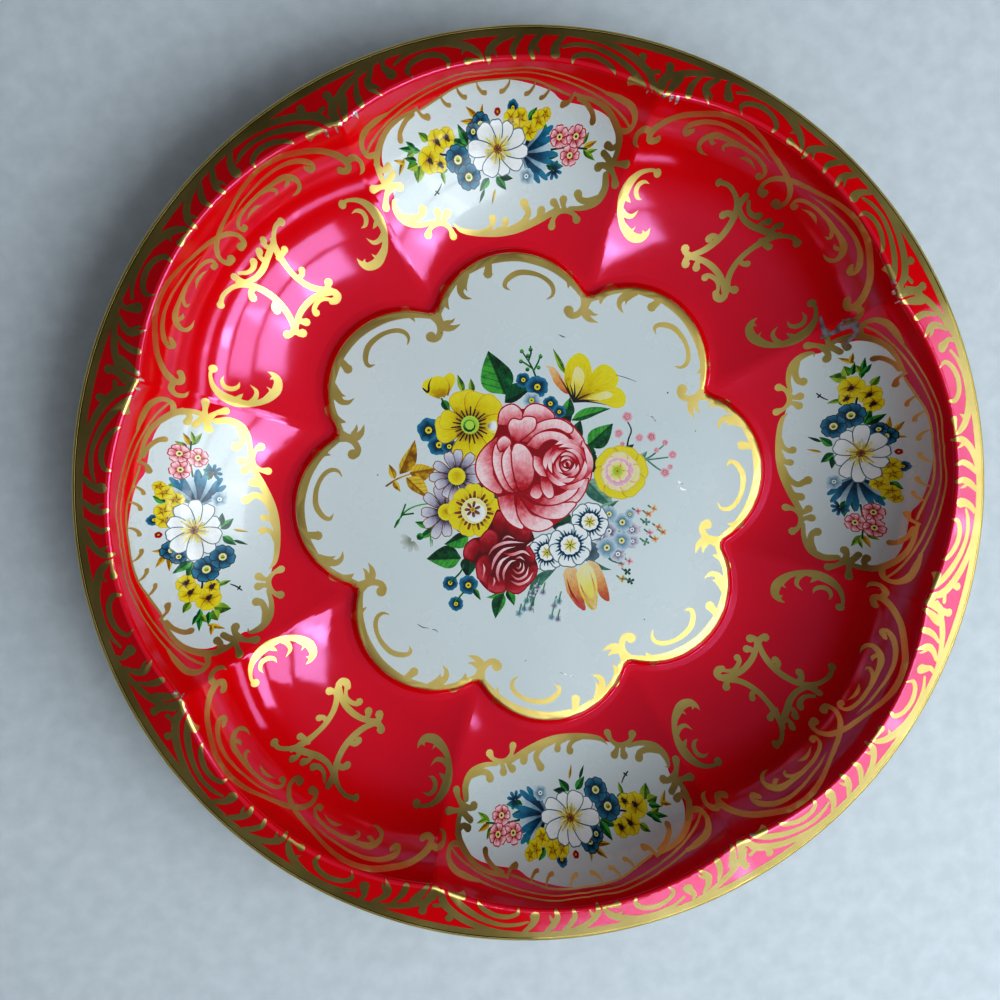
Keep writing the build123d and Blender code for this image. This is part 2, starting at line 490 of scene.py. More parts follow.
# %% The film itself
def film(name, patches):
    """One thin film of ink on the sheet, from patches in the order they are painted."""
    points, outlines, seams, known = [], [], [], {}
    for item in patches:
        ring = item.outline
        area = sum(a[0] * b[1] - b[0] * a[1] for a, b in zip(ring, ring[1:] + ring[:1]))
        ring = ring if area > 0 else ring[::-1]
        outlines.append(list(range(len(points), len(points) + len(ring))))
        points += [Vector(point) for point in ring]
    low = [min(point[axis] for point in points) - 0.5 for axis in (0, 1)]
    high = [max(point[axis] for point in points) + 0.5 for axis in (0, 1)]
    reaches = [math.hypot(*point) for point in points]
    inner, outer = min(reaches) - 4.0, max(reaches) + 1.0
    for corners, _ in sheet_faces:
        near = min(math.hypot(sheet_points[c].x, sheet_points[c].y) for c in corners) / MM
        far = max(math.hypot(sheet_points[c].x, sheet_points[c].y) for c in corners) / MM
        spread = [[sheet_points[c][axis] / MM for c in corners] for axis in (0, 1)]
        if far < inner or near > outer or any(
                max(spread[axis]) < low[axis] or min(spread[axis]) > high[axis] for axis in (0, 1)):
            continue
        numbers = []
        for corner in corners:
            spot = (round(sheet_points[corner].x / MM, 3), round(sheet_points[corner].y / MM, 3))
            if spot not in known:
                known[spot] = len(points)
                points.append(Vector(spot))
            numbers.append(known[spot])
        for start, end in zip(numbers, numbers[1:] + numbers[:1]):
            if start < end:
                seams.append((start, end))
    seams = sorted(set(seams))
    spots, _, cells, _, _, sources = delaunay_2d_cdt(points, seams, outlines, 1, 1e-5, True)

    sheet = bmesh.new()
    grain_map = sheet.loops.layers.uv.new("grain")
    names = sorted({item.ink for item in patches})
    upwards = sheet.verts.layers.float_vector.new("sheet_normal")
    made = {}

    def vertex(index):
        if index not in made:
            place, normal = drop(*spots[index])
            made[index] = sheet.verts.new(place + normal * film_lift)
            made[index][upwards] = normal
        return made[index]

    for cell, source in zip(cells, sources):
        if not source:
            continue
        top = patches[max(source)]
        try:
            face = sheet.faces.new([vertex(index) for index in cell])
        except ValueError:
            continue
        face.material_index = names.index(top.ink)
        face.smooth = True
        for loop, index in zip(face.loops, cell):
            loop[grain_map].uv = top.at(*spots[index])
    mesh = bpy.data.meshes.new(name)
    sheet.normal_update()
    turned_over = [face for face in sheet.faces if face.normal.z < 0]
    bmesh.ops.reverse_faces(sheet, faces=turned_over)
    bmesh.ops.solidify(sheet, geom=sheet.faces[:], thickness=film_thickness)
    # the film bends light as the sheet under it does, and its thin edge stays a crisp corner
    sheet.normal_update()
    bends = []
    for face in sheet.faces:
        for loop in face.loops:
            normal = loop.vert[upwards]
            side = face.normal.dot(normal)
            bends.append(normal * (1 if side > 0 else -1) if abs(side) > 0.5 else face.normal)
    sheet.to_mesh(mesh)
    sheet.free()
    mesh.normals_split_custom_set(bends)
    mesh.attributes.remove(mesh.attributes["sheet_normal"])
    for ink in names:
        mesh.materials.append(inks[ink])
    piece = bpy.data.objects.new(name, mesh)
    bpy.context.scene.collection.objects.link(piece)
    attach(piece, "root")
    print(f"{name}: {len(patches)} patches, {len(mesh.polygons)} faces")

# %% [markdown]
# ## The middle panel
# The raised middle is a flower of eight lobes, white with a gold border. The border is drawn
# once, on the lobe that points along +X: x runs outwards and y along the edge. Copies
# are turned round the middle.

# %% The panel's edge and its gold border
panel_lobe_reach = 71.6
panel_cusp_reach = 59.8
half_turn = math.radians(LOBE_TURN / 2)
cusp_out, cusp_side = panel_cusp_reach * math.cos(half_turn), panel_cusp_reach * math.sin(half_turn)
lobe_rise = panel_lobe_reach - cusp_out
lobe_radius = (lobe_rise ** 2 + cusp_side ** 2) / (2 * lobe_rise)
lobe_centre = panel_lobe_reach - lobe_radius
lobe_sweep = math.degrees(math.atan2(cusp_side, cusp_out - lobe_centre))


def on_lobe(degrees, inset=0.0):
    """A point on a lobe's edge, by the angle about the lobe's own centre."""
    return polar(lobe_radius - inset, degrees, lobe_centre)


lobe_edge = [on_lobe(lobe_sweep * step / 12) for step in range(-12, 12)]
panel_ground = Patch(
    [point for lobe in range(LOBES)
     for point in turned([Patch(lobe_edge, "white_enamel")], lobe * LOBE_TURN)[0].outline],
    "white_enamel")

band_widths = ((-69, 1.3), (-58, 1.9), (-45, 2.3), (-30, 2.6), (-10, 2.6), (10, 2.4), (25, 2.2),
               (38, 1.6), (50, 1.6), (60, 1.8), (69, 1.3))
lobe_border = [
    stroke([(*on_lobe(angle, width / 2), width) for angle, width in band_widths]),
    # the leaves and buds that grow inwards from the band
    stroke([(63.6, -18.5, 2.8), (61.1, -18.1, 1.6), (58.9, -17.5, 0)]),
    stroke([(68.6, 5.5, 2.0), (66.6, 5.9, 2.4), (66.0, 6.0, 2.9)]),
    stroke([(66.6, 13.0, 3.0), (64.1, 14.1, 2.9), (61.6, 14.8, 1.9), (59.8, 13.7, 1.3), (59.1, 11.5, 0)]),
    stroke([(64.6, 12.9, 1.2), (62.8, 13.2, 0.9), (61.3, 12.7, 0)]),
    stroke([(63.1, 19.0, 3.2), (60.6, 19.8, 2.6), (58.6, 19.7, 1.9), (56.9, 18.9, 0.4)]),
    # the leaf that curls over one cusp, and the ball-ended volute at the other
    stroke([(57.0, 22.3, 1.6), (53.4, 22.1, 2.4), (51.6, 20.5, 2.4), (51.2, 18.3, 1.6), (52.1, 15.8, 0)]),
    stroke([(52.8, 20.3, 1.6), (53.1, 18.5, 1.0), (54.0, 17.3, 0)]),
    stroke([(56.6, -22.0, 1.8), (53.6, -21.8, 1.9), (51.6, -20.3, 1.9), (50.9, -18.3, 2.0),
            (51.7, -17.0, 2.4)]),
    ball(52.6, -17.0, 1.55),
    # the loose crescent inside the lobe
    stroke([(56.6, -10.7, 0.2), (57.5, -12.5, 0.9), (59.4, -13.1, 1.3), (61.6, -12.2, 1.4),
            (63.6, -9.9, 1.3), (64.9, -7.0, 1.5), (65.4, -3.5, 1.7), (64.6, -0.9, 1.7),
            (63.1, 1.0, 1.4), (61.6, 1.3, 1.1), (60.4, -0.2, 0)]),
]
panel_print = [panel_ground]
for lobe in range(LOBES):
    panel_print += turned(lobe_border, lobe * LOBE_TURN)
print(len(lobe_border), "strokes of gold on each lobe of the panel")

# %% [markdown]
# ## The rim
# The sloping rim carries a running pattern of brush-drawn acanthus. It repeats once on every
# lobe: a plain half with drops and short leaves, then a half whose long stem sweeps down to
# the cusp. Places are given as degrees from the lobe's middle and millimetres from the axis.

# %% Rim scrolls
def around(points):
    """A stroke given as (degrees, radius, width)."""
    return stroke([(*polar(radius, degrees), width) for degrees, radius, width in points])


rim_border_radius, rim_border_width = 124.4, 2.1
rim_unit = [
    around([(step * LOBE_TURN / 12 - LOBE_TURN / 2 - 0.5, rim_border_radius, rim_border_width)
            for step in range(13)] + [(LOBE_TURN / 2 + 0.5, rim_border_radius, rim_border_width)]),
    # the half before the lobe's middle: stem, leaves, a drop and a crescent under an arch
    around([(14.2, 123.9, 1.3), (15.6, 123.3, 1.6), (17.4, 122.2, 1.9), (19.4, 120.5, 2.1),
            (21.0, 118.5, 2.0), (22.3, 116.6, 1.8), (23.2, 115.0, 0.9)]),
    around([(20.3, 119.4, 1.6), (20.6, 117.4, 2.4), (21.1, 114.9, 2.3), (21.6, 112.0, 1.2)]),
    around([(17.9, 120.6, 0.9), (18.5, 118.3, 1.5), (18.8, 115.9, 1.9), (18.8, 113.8, 1.9)]),
    around([(15.6, 122.2, 1.2), (16.4, 120.2, 1.8), (16.8, 118.0, 2.1), (16.5, 115.8, 1.6),
            (15.7, 113.7, 0)]),
    around([(16.3, 117.3, 1.2), (15.8, 116.2, 0.8), (15.5, 115.0, 0)]),
    around([(13.9, 123.4, 1.2), (14.2, 121.6, 1.5), (13.8, 119.6, 2.4), (13.6, 118.4, 3.0)]),
    around([(11.1, 115.7, 0.3), (11.6, 117.7, 1.2), (10.8, 119.8, 1.6), (9.0, 121.0, 1.9),
            (7.2, 120.3, 1.7), (6.2, 118.3, 1.5), (6.3, 116.4, 0.8)]),
    around([(12.8, 121.0, 0.9), (11.2, 122.7, 1.3), (8.9, 123.5, 1.6), (6.3, 123.4, 2.0),
            (4.4, 122.3, 2.5), (2.9, 120.5, 2.3), (2.0, 118.3, 1.6), (1.6, 116.5, 0.4)]),
    around([(3.4, 121.3, 1.5), (3.9, 120.1, 1.0), (4.3, 118.9, 0)]),
    around([(3.7, 117.0, 2.0), (2.9, 117.0, 1.0), (1.9, 116.7, 0.5)]),
    # the half after it
    around([(0.9, 116.3, 1.0), (0.9, 118.2, 1.8), (0.3, 120.2, 2.1), (-1.0, 122.3, 2.1),
            (-3.2, 123.8, 1.4)]),
    around([(0.4, 119.7, 1.4), (0.0, 118.2, 1.0), (-0.3, 116.9, 0)]),
    around([(-3.8, 123.4, 1.3), (-2.9, 121.2, 1.8), (-2.3, 118.6, 1.7), (-2.5, 116.6, 0.9)]),
    around([(-6.1, 123.4, 1.4), (-5.2, 121.0, 2.0), (-4.7, 118.4, 1.8), (-4.9, 116.4, 1.1)]),
    around([(-5.1, 120.4, 1.2), (-5.6, 118.6, 0.9), (-5.8, 117.0, 0)]),
    around([(-9.0, 123.2, 1.4), (-8.2, 121.2, 1.9), (-7.8, 119.2, 2.3), (-7.8, 117.6, 2.9)]),
    around([(-10.1, 115.4, 0.5), (-10.3, 117.0, 1.4), (-11.5, 118.1, 1.7), (-13.1, 117.9, 1.8),
            (-14.6, 116.5, 1.6), (-15.6, 114.9, 1.2), (-16.0, 113.5, 0)]),
    around([(-8.7, 119.8, 0.8), (-10.1, 120.8, 1.4), (-12.1, 121.1, 1.5), (-14.1, 120.1, 1.7),
            (-16.0, 118.4, 1.9), (-17.8, 116.2, 2.1), (-19.3, 113.8, 1.7), (-20.3, 112.2, 0.5)]),
    around([(-17.2, 117.0, 1.6), (-17.8, 115.6, 1.0), (-18.3, 114.3, 0)]),
    around([(-18.1, 113.2, 1.7), (-18.9, 112.9, 1.0), (-19.9, 112.4, 0.4)]),
    around([(-9.2, 124.0, 1.4), (-12.4, 123.6, 1.8), (-15.0, 122.4, 2.1), (-17.4, 120.5, 2.3),
            (-19.3, 118.2, 2.4), (-20.6, 115.8, 2.4), (-21.2, 112.6, 1.4)]),
    around([(-19.0, 118.4, 1.1), (-19.2, 119.8, 1.5), (-19.2, 121.0, 2.4)]),
    around([(-20.2, 116.8, 1.2), (-20.9, 117.2, 1.3), (-21.6, 117.6, 1.4)]),
    around([(-23.3, 118.7, 1.6), (-22.8, 117.0, 2.3), (-22.4, 114.6, 2.6), (-22.4, 112.1, 1.6)]),
    around([(-22.7, 117.8, 1.2), (-22.9, 119.2, 1.8), (-22.9, 120.5, 2.5)]),
    around([(-21.3, 113.6, 1.8), (-21.9, 112.3, 1.4), (-22.4, 111.8, 1.2)]),
]
rim_print = []
for lobe in range(LOBES):
    rim_print += turned(rim_unit, lobe * LOBE_TURN)
print(len(rim_unit), "strokes in each lobe of the rim")

# %% [markdown]
# ## The red lobes
# Four of the eight lobes stay red and carry gold scrolls: a cartouche with four hollow
# sides, a C-scroll at each side of it, and two long S-scrolls that cross under the crest.
# They are drawn on the lobe at 135 degrees. The C and the S are drawn once and mirrored
# about the lobe's middle; the cartouche isn't quite the same on both sides.

# %% Cartouche
cartouche = [
    # upper side, with the tail that runs up towards the crest
    stroke([(-63.6, 84.6, 1.6), (-65.2, 83.6, 1.1), (-66.3, 81.2, 1.2), (-66.7, 78.0, 1.6)]),
    ball(-63.5, 84.6, 1.05),
    stroke([(-66.9, 80.2, 1.4), (-66.0, 76.6, 1.9), (-64.6, 73.6, 1.6), (-62.4, 70.4, 1.6),
            (-59.4, 67.9, 1.7), (-56.4, 66.6, 1.8), (-53.6, 66.1, 2.0), (-51.6, 65.0, 1.8)]),
    stroke([(-66.3, 75.6, 1.4), (-65.0, 76.6, 1.3), (-64.1, 77.8, 2.0)]),
    stroke([(-61.9, 70.0, 1.6), (-60.6, 70.9, 1.4), (-60.4, 72.2, 1.9)]),
    stroke([(-55.4, 66.2, 1.6), (-54.0, 67.0, 1.5), (-53.4, 68.4, 2.5)]),
    # inner side, towards the panel
    stroke([(-52.0, 65.6, 1.8), (-51.2, 64.4, 2.0), (-51.9, 63.3, 2.4), (-53.2, 62.9, 1.9)]),
    stroke([(-53.2, 65.3, 1.3), (-56.8, 65.0, 1.7), (-60.0, 63.2, 1.9), (-62.6, 60.6, 1.8),
            (-64.2, 57.6, 1.6), (-64.9, 54.8, 1.4)]),
    stroke([(-53.0, 63.4, 1.0), (-55.6, 63.8, 1.2), (-57.4, 63.0, 1.4), (-58.6, 61.2, 1.5),
            (-58.2, 60.0, 2.2)]),
    stroke([(-63.6, 59.2, 1.6), (-62.8, 58.0, 1.6), (-61.4, 57.6, 2.4)]),
    stroke([(-65.0, 56.4, 1.6), (-66.0, 54.8, 1.8), (-67.3, 54.5, 2.6)]),
    stroke([(-64.8, 56.4, 1.4), (-64.2, 54.8, 1.8), (-62.9, 54.5, 2.6)]),
    # outer side, with the tail that runs down towards the next medallion
    stroke([(-65.2, 56.2, 1.5), (-65.9, 59.4, 1.8), (-67.5, 62.6, 1.9), (-69.9, 65.6, 1.9),
            (-73.0, 67.8, 1.8), (-76.2, 68.8, 1.6), (-79.4, 68.2, 1.2), (-82.2, 66.2, 1.1),
            (-83.4, 64.0, 1.2)]),
    ball(-83.5, 63.4, 1.0),
    stroke([(-68.6, 64.4, 1.6), (-69.8, 62.6, 1.6), (-69.1, 61.4, 2.2)]),
    stroke([(-73.8, 68.4, 1.6), (-75.2, 66.8, 1.6), (-75.0, 65.2, 2.2)]),
    stroke([(-78.6, 70.8, 2.0), (-77.4, 70.1, 1.3), (-76.0, 69.2, 1.5)]),
    stroke([(-78.2, 69.4, 1.0), (-75.6, 69.6, 1.3), (-73.0, 70.8, 1.5), (-70.8, 73.0, 1.7),
            (-69.2, 75.6, 1.7), (-67.6, 78.2, 1.7), (-66.6, 79.6, 1.2)]),
    stroke([(-77.2, 71.8, 1.0), (-75.0, 72.0, 1.1), (-73.4, 73.2, 1.4), (-72.9, 74.8, 2.0)]),
    stroke([(-69.8, 74.6, 1.4), (-71.0, 76.0, 1.4), (-70.9, 77.4, 2.0)]),
    stroke([(-68.0, 78.0, 1.4), (-69.2, 79.0, 1.4), (-69.2, 80.2, 1.9)]),
]

# %% C-scroll and S-scroll
c_scroll = [
    ball(-46.0, 88.3, 1.15),
    stroke([(-46.0, 88.4, 1.2), (-44.3, 89.2, 0.9), (-41.0, 88.9, 1.4), (-38.2, 87.0, 2.3),
            (-36.3, 84.2, 2.7), (-35.3, 81.4, 2.0), (-35.2, 78.4, 1.7), (-36.2, 75.2, 2.2),
            (-38.4, 72.6, 2.8), (-41.2, 71.8, 2.3), (-43.2, 72.9, 1.3), (-44.2, 74.4, 0)]),
    stroke([(-43.9, 85.9, 0), (-42.4, 86.6, 0.9), (-40.7, 86.1, 1.3), (-39.9, 84.5, 1.4),
            (-40.4, 82.8, 1.1), (-41.8, 82.1, 0)]),
    stroke([(-36.6, 83.8, 1.8), (-37.6, 82.5, 1.1), (-38.4, 81.6, 0)]),
    stroke([(-35.3, 80.2, 1.8), (-36.8, 78.6, 1.5), (-38.8, 78.1, 1.1), (-40.8, 79.6, 0)]),
    stroke([(-35.8, 76.2, 1.8), (-37.4, 74.6, 1.5), (-38.6, 74.2, 0.9), (-39.8, 75.2, 0)]),
    stroke([(-41.8, 72.2, 1.6), (-42.2, 73.2, 0.9), (-41.7, 74.0, 0)]),
]
s_scroll = [
    stroke([(-78.2, 75.4, 1.9), (-79.4, 74.2, 1.4), (-81.0, 75.2, 1.2), (-81.0, 77.6, 1.1),
            (-79.4, 80.8, 0.85), (-77.2, 83.7, 0.65), (-74.9, 86.3, 0.55), (-71.7, 89.6, 0.5),
            (-68.1, 92.5, 0.5), (-64.1, 95.0, 0.55), (-59.4, 97.1, 0.6), (-54.6, 98.4, 0.7),
            (-50.0, 99.1, 0.9), (-46.0, 98.8, 1.2), (-43.2, 97.6, 1.7), (-42.6, 96.2, 1.7),
            (-43.8, 95.6, 1.4), (-45.2, 95.8, 1.5)]),
    stroke([(-43.0, 97.2, 1.4), (-41.0, 98.2, 1.3), (-39.2, 97.6, 1.3), (-38.9, 95.8, 1.1),
            (-40.0, 94.6, 0)]),
    # a thin branch with a hook
    stroke([(-75.4, 84.6, 0), (-72.2, 87.8, 0.3), (-68.6, 90.7, 0.35), (-65.0, 93.2, 0.4), (-61.0, 95.4, 0.5),
            (-57.0, 96.8, 0.7), (-53.6, 97.2, 1.0), (-52.0, 96.6, 1.3), (-52.8, 95.9, 1.3),
            (-54.2, 96.0, 0.8)]),
    # the leaf inside it
    stroke([(-59.4, 90.3, 0), (-57.6, 91.3, 0.7), (-56.6, 92.7, 1.1), (-57.4, 93.9, 1.3), (-60.0, 94.0, 1.1),
            (-63.2, 92.6, 0.75), (-66.4, 90.8, 0.65), (-69.2, 88.9, 0.6), (-71.8, 86.8, 0.6),
            (-73.8, 84.6, 0.7), (-74.5, 83.0, 0.9), (-73.7, 82.3, 1.1), (-72.9, 83.0, 1.3)]),
    stroke([(-63.6, 90.2, 0), (-62.8, 91.3, 0.8), (-64.8, 91.3, 0.6), (-67.4, 89.8, 0)]),
    stroke([(-67.2, 88.2, 0), (-69.0, 87.5, 0.6), (-70.9, 86.0, 0.5), (-72.3, 84.2, 0)]),
    stroke([(-59.2, 93.5, 0.9), (-60.0, 92.6, 0.7), (-61.0, 92.3, 0)]),
]
strap = cartouche + c_scroll + s_scroll
for scroll in (c_scroll, s_scroll):
    strap += turned(scroll, 90, flip=True)
print(len(strap), "strokes on each red lobe")

# %% [markdown]
# ## The flowers' inks
# The flowers are printed in a few inks that run into each other: dark in the throat of a
# petal, pale towards its rim, with fine brush lines along it. Each ink is one ramp along the
# petal's own grain, broken up by noise, so that no two petals look the same.

# %% Petal and leaf inks
def petal_ink(name, deep, middle, light, lines=0.35, rim=0.0, turn=0.42):
    material, principled, add, link = shader(name)
    grain = add("UVMap", uv_map="grain")
    split = add("SeparateXYZ", grain.outputs[0])
    along, side = split.outputs[0], split.outputs[1]
    place = add("TexCoord").outputs["Object"]
    cloud = add("TexNoise", place, scale=520.0, detail=4.0).outputs[0]
    broken = add("MapRange", cloud, 0.25, 0.75, -0.16, 0.16).outputs[0]
    run = add("Math", along, broken, operation="ADD").outputs[0]
    tone = ramp(add, run, (turn * 0.3, deep), (turn, middle), (0.86, light))
    stretched = add("Mapping", add("CombineXYZ", along, side).outputs[0])
    stretched.inputs["Scale"].default_value = (0.7, 7.0, 1.0)
    streaks = add("TexNoise", stretched.outputs[0], scale=3.2, detail=2.0)
    line = ramp(add, streaks.outputs[0], (0.42, 1.0), (0.5, 0.0), (0.58, 1.0))
    fade = add("MapRange", along, 0.1, 0.9, lines, lines * 0.25).outputs[0]
    amount = add("Math", add("Math", 1.0, line, operation="SUBTRACT").outputs[0], fade,
                 operation="MULTIPLY").outputs[0]
    tone = blend(add, amount, tone, deep)
    if rim:
        edge = add("Math", side, operation="ABSOLUTE").outputs[0]
        tone = blend(add, add("MapRange", edge, 0.72, 1.0, 0.0, rim).outputs[0], tone, light)
    link(tone, principled.inputs["Base Color"])
    gloss(principled, add, link, place, low=0.2, high=0.36, coat=0.5)
    return material


def leaf_ink(name, dark, middle, light):
    """A leaf's ink: a dark midrib and side veins, and one half lit."""
    material, principled, add, link = shader(name)
    split = add("SeparateXYZ", add("UVMap", uv_map="grain").outputs[0])
    along, side = split.outputs[0], split.outputs[1]
    away = add("Math", side, operation="ABSOLUTE").outputs[0]
    place = add("TexCoord").outputs["Object"]
    cloud = add("TexNoise", place, scale=480.0, detail=3.0).outputs[0]
    half = add("MapRange", side, -0.15, 0.15, 0.0, 0.42).outputs[0]
    shade = add("Math", half, cloud, operation="ADD").outputs[0]
    tone = ramp(add, shade, (0.38, dark), (0.62, middle), (1.0, light))
    slant = add("Math", add("Math", away, 0.30, operation="MULTIPLY").outputs[0], along,
                operation="SUBTRACT").outputs[0]
    wave = add("Math", add("Math", slant, 38.0, operation="MULTIPLY").outputs[0],
               operation="SINE").outputs[0]
    veins = ramp(add, wave, (0.86, 0.0), (1.0, 0.7))
    tone = blend(add, veins, tone, dark)
    midrib = ramp(add, away, (0.05, 0.85), (0.13, 0.0))
    tone = blend(add, midrib, tone, dark)
    link(tone, principled.inputs["Base Color"])
    gloss(principled, add, link, place, low=0.2, high=0.36, coat=0.5)
    return material


petal_inks = {
    # name: (deep, middle, light, how strong its brush lines are, how pale its rim is, its turn)
    "rose_shadow": ((0.30, 0.0, 0.008), (0.40, 0.0, 0.014), (0.48, 0.0, 0.02), 0.2, 0),
    "rose_pink": ((0.52, 0.0, 0.02), (0.84, 0.32, 0.36), (0.92, 0.74, 0.75), 0.6, 0.25, 0.46),
    "rose_tip": ((0.66, 0.08, 0.12), (0.86, 0.44, 0.47), (0.92, 0.74, 0.75), 0.35, 0.0),
    "crimson_shadow": ((0.13, 0.0, 0.004), (0.26, 0.0, 0.007), (0.34, 0.0, 0.010), 0.3, 0),
    "crimson": ((0.17, 0.0, 0.005), (0.40, 0.0, 0.012), (0.60, 0.06, 0.09), 0.5, 0.1, 0.55),
    "yellow": ((0.46, 0.27, 0.0), (0.74, 0.62, 0.0), (0.80, 0.72, 0.03), 0.6, 0),
    "pale_yellow": ((0.62, 0.46, 0.02), (0.80, 0.72, 0.16), (0.80, 0.76, 0.45), 0.3, 0),
    "peach": ((0.52, 0.10, 0.03), (0.76, 0.40, 0.12), (0.80, 0.62, 0.34), 0.9, 0),
    "ochre": ((0.25, 0.10, 0.0), (0.55, 0.33, 0.01), (0.72, 0.54, 0.06), 0.5, 0),
    "blue": ((0.0, 0.015, 0.04), (0.0, 0.075, 0.15), (0.03, 0.24, 0.38), 0.4, 0.45),
    "pale_blue": ((0.08, 0.20, 0.30), (0.28, 0.42, 0.50), (0.55, 0.66, 0.72), 0.5, 0),
    "white_petal": ((0.30, 0.34, 0.31), (0.80, 0.83, 0.82), (0.88, 0.90, 0.90), 0.55, 0, 0.36),
    "slate": ((0.03, 0.06, 0.08), (0.07, 0.12, 0.15), (0.12, 0.20, 0.24), 0.2, 0),
    "mauve": ((0.10, 0.08, 0.14), (0.46, 0.44, 0.54), (0.68, 0.70, 0.76), 0.6, 0.2),
    "pale_pink": ((0.50, 0.10, 0.16), (0.72, 0.36, 0.42), (0.78, 0.55, 0.58), 0.4, 0),
    "bark": ((0.10, 0.03, 0.02), (0.20, 0.06, 0.03), (0.30, 0.10, 0.04), 0.2, 0),
    "faint_grey": ((0.30, 0.33, 0.28), (0.46, 0.50, 0.46), (0.60, 0.64, 0.62), 0.4, 0),
    "bud_green": ((0.12, 0.30, 0.0), (0.30, 0.55, 0.02), (0.5, 0.7, 0.1), 0.4, 0),
    "dark_line": ((0.02, 0.015, 0.015), (0.03, 0.02, 0.02), (0.05, 0.03, 0.03), 0.1, 0),
}
leaf_inks = {
    "leaf_green": ((0.0, 0.035, 0.012), (0.0, 0.15, 0.04), (0.08, 0.42, 0.06)),
    "dark_leaf": ((0.0, 0.02, 0.012), (0.0, 0.06, 0.025), (0.0, 0.12, 0.04)),
    "lime_leaf": ((0.03, 0.10, 0.01), (0.16, 0.34, 0.02), (0.42, 0.56, 0.06)),
    "sea_leaf": ((0.03, 0.14, 0.10), (0.10, 0.28, 0.20), (0.28, 0.46, 0.34)),
    "ochre_leaf": ((0.22, 0.09, 0.0), (0.58, 0.34, 0.01), (0.74, 0.56, 0.06)),
}


def bare_tin():
    """Tinplate laid bare where the print has chipped or been scratched off."""
    material, principled, add, link = shader("bare_tin")
    place = add("TexCoord").outputs["Object"]
    stain = add("TexNoise", place, scale=700.0, detail=5.0).outputs[0]
    link(ramp(add, stain, (0.36, (0.16, 0.14, 0.14)), (0.56, (0.78, 0.79, 0.80))),
         principled.inputs["Base Color"])
    principled.inputs["Metallic"].default_value = 0.7
    gloss(principled, add, link, place, low=0.3, high=0.5, coat=0.0, bump=0.15)
    return material


def scuffed_print():
    """A dull grey mark rubbed into the varnish."""
    material, principled, add, link = shader("scuffed_print")
    place = add("TexCoord").outputs["Object"]
    rubbed = add("TexNoise", place, scale=600.0, detail=5.0).outputs[0]
    link(ramp(add, rubbed, (0.35, (0.13, 0.09, 0.10)), (0.6, (0.27, 0.23, 0.27))),
         principled.inputs["Base Color"])
    gloss(principled, add, link, place, low=0.55, high=0.8, coat=0.0, bump=0.2)
    return material


inks["bare_tin"], inks["scuffed_print"] = bare_tin(), scuffed_print()
for name, recipe in petal_inks.items():
    inks[name] = petal_ink(name, *recipe)
for name, recipe in leaf_inks.items():
    inks[name] = leaf_ink(name, *recipe)
print(len(inks), "inks, enamels and lacquers")

# %% [markdown]
# ## The bouquet in the middle
# A posy is built as a florist builds it, from the back: sprays and leaves first, then the
# small flowers, then the two roses in front. What comes later in the list lies on top.

# %% Small flowers
def little_flower(x, y, size, ink="blue", heart="yellow", petals=5, turn=0.0, seed=1):
    """A forget-me-not: round petals, a pale eye and a dark dot."""
    width = size * (1.15 if petals < 7 else 0.7)
    made = rosette(x, y, petals, size * 0.12, size, width, ink, turn, 0.25, size * 0.08, seed)
    return made + [ball(x, y, size * 0.30, heart, 9), ball(x, y, size * 0.11, "dark_line", 6)]


def sprig(points, ink="leaf_green"):
    """A thin stem that tapers towards its end."""
    return stroke([(x, y, width) for (x, y), width in zip(points, (0.55, 0.5, 0.42, 0.35, 0.3, 0.3))], ink)


def daisy(x, y, eye, reach, petals=11, turn=0.0, seed=2):
    """Narrow petals with dark lines between them, round a yellow eye."""
    made = edged(rosette(x, y, petals, eye * 0.8, reach, reach * 0.34, "mauve", turn, 0.3, 0.3, seed),
                 0.25, "bark")
    for index in range(petals):
        angle = turn + 360 * (index + 0.5) / petals
        made.append(stroke([(*polar(eye * 0.7, angle, x, y), 0.5),
                            (*polar(reach * 0.62, angle + 3, x, y), 0)], "dark_line"))
    made.append(ball(x, y, eye, "yellow", 14))
    for index in range(7):
        made.append(ball(*polar(eye * 0.5, index * 51, x, y), 0.22, "ochre", 5))
    return made


def auricula(x, y, size, turn=0.0, seed=3):
    """White petals, a toothed blue ring, a white disc and a yellow eye."""
    made = edged(rosette(x, y, 7, size * 0.2, size, size * 0.86, "white_petal", turn, 0.12, 0.3, seed),
                 0.32, "slate")
    made += [ball(x, y, size * 0.56, "blue", 20)]
    for index in range(24):
        angle = turn + index * 15
        far = size * (0.75 if index % 3 else 0.64)
        made.append(stroke([(*polar(size * 0.48, angle, x, y), 0.75),
                            (*polar(far, angle + 2, x, y), 0.25)], "blue", 2))
    made += rosette(x, y, 9, size * 0.1, size * 0.46, size * 0.30, "white_petal", turn, 0.1, 0, seed)
    made += [ball(x, y, size * 0.38, "white_petal", 16), ball(x, y, size * 0.25, "pale_yellow", 12)]
    for index in range(7):
        made.append(stroke([(*polar(size * 0.06, index * 51, x, y), 0.35),
                            (*polar(size * 0.30, index * 51 + 12, x, y), 0.35)], "ochre", 2))
    return made + [ball(x, y, size * 0.10, "bud_green", 7), ball(x, y, size * 0.05, "dark_line", 5)]


print("a forget-me-not has", len(little_flower(0, 0, 3.0)), "patches, and a daisy", len(daisy(0, 0, 2, 8)))

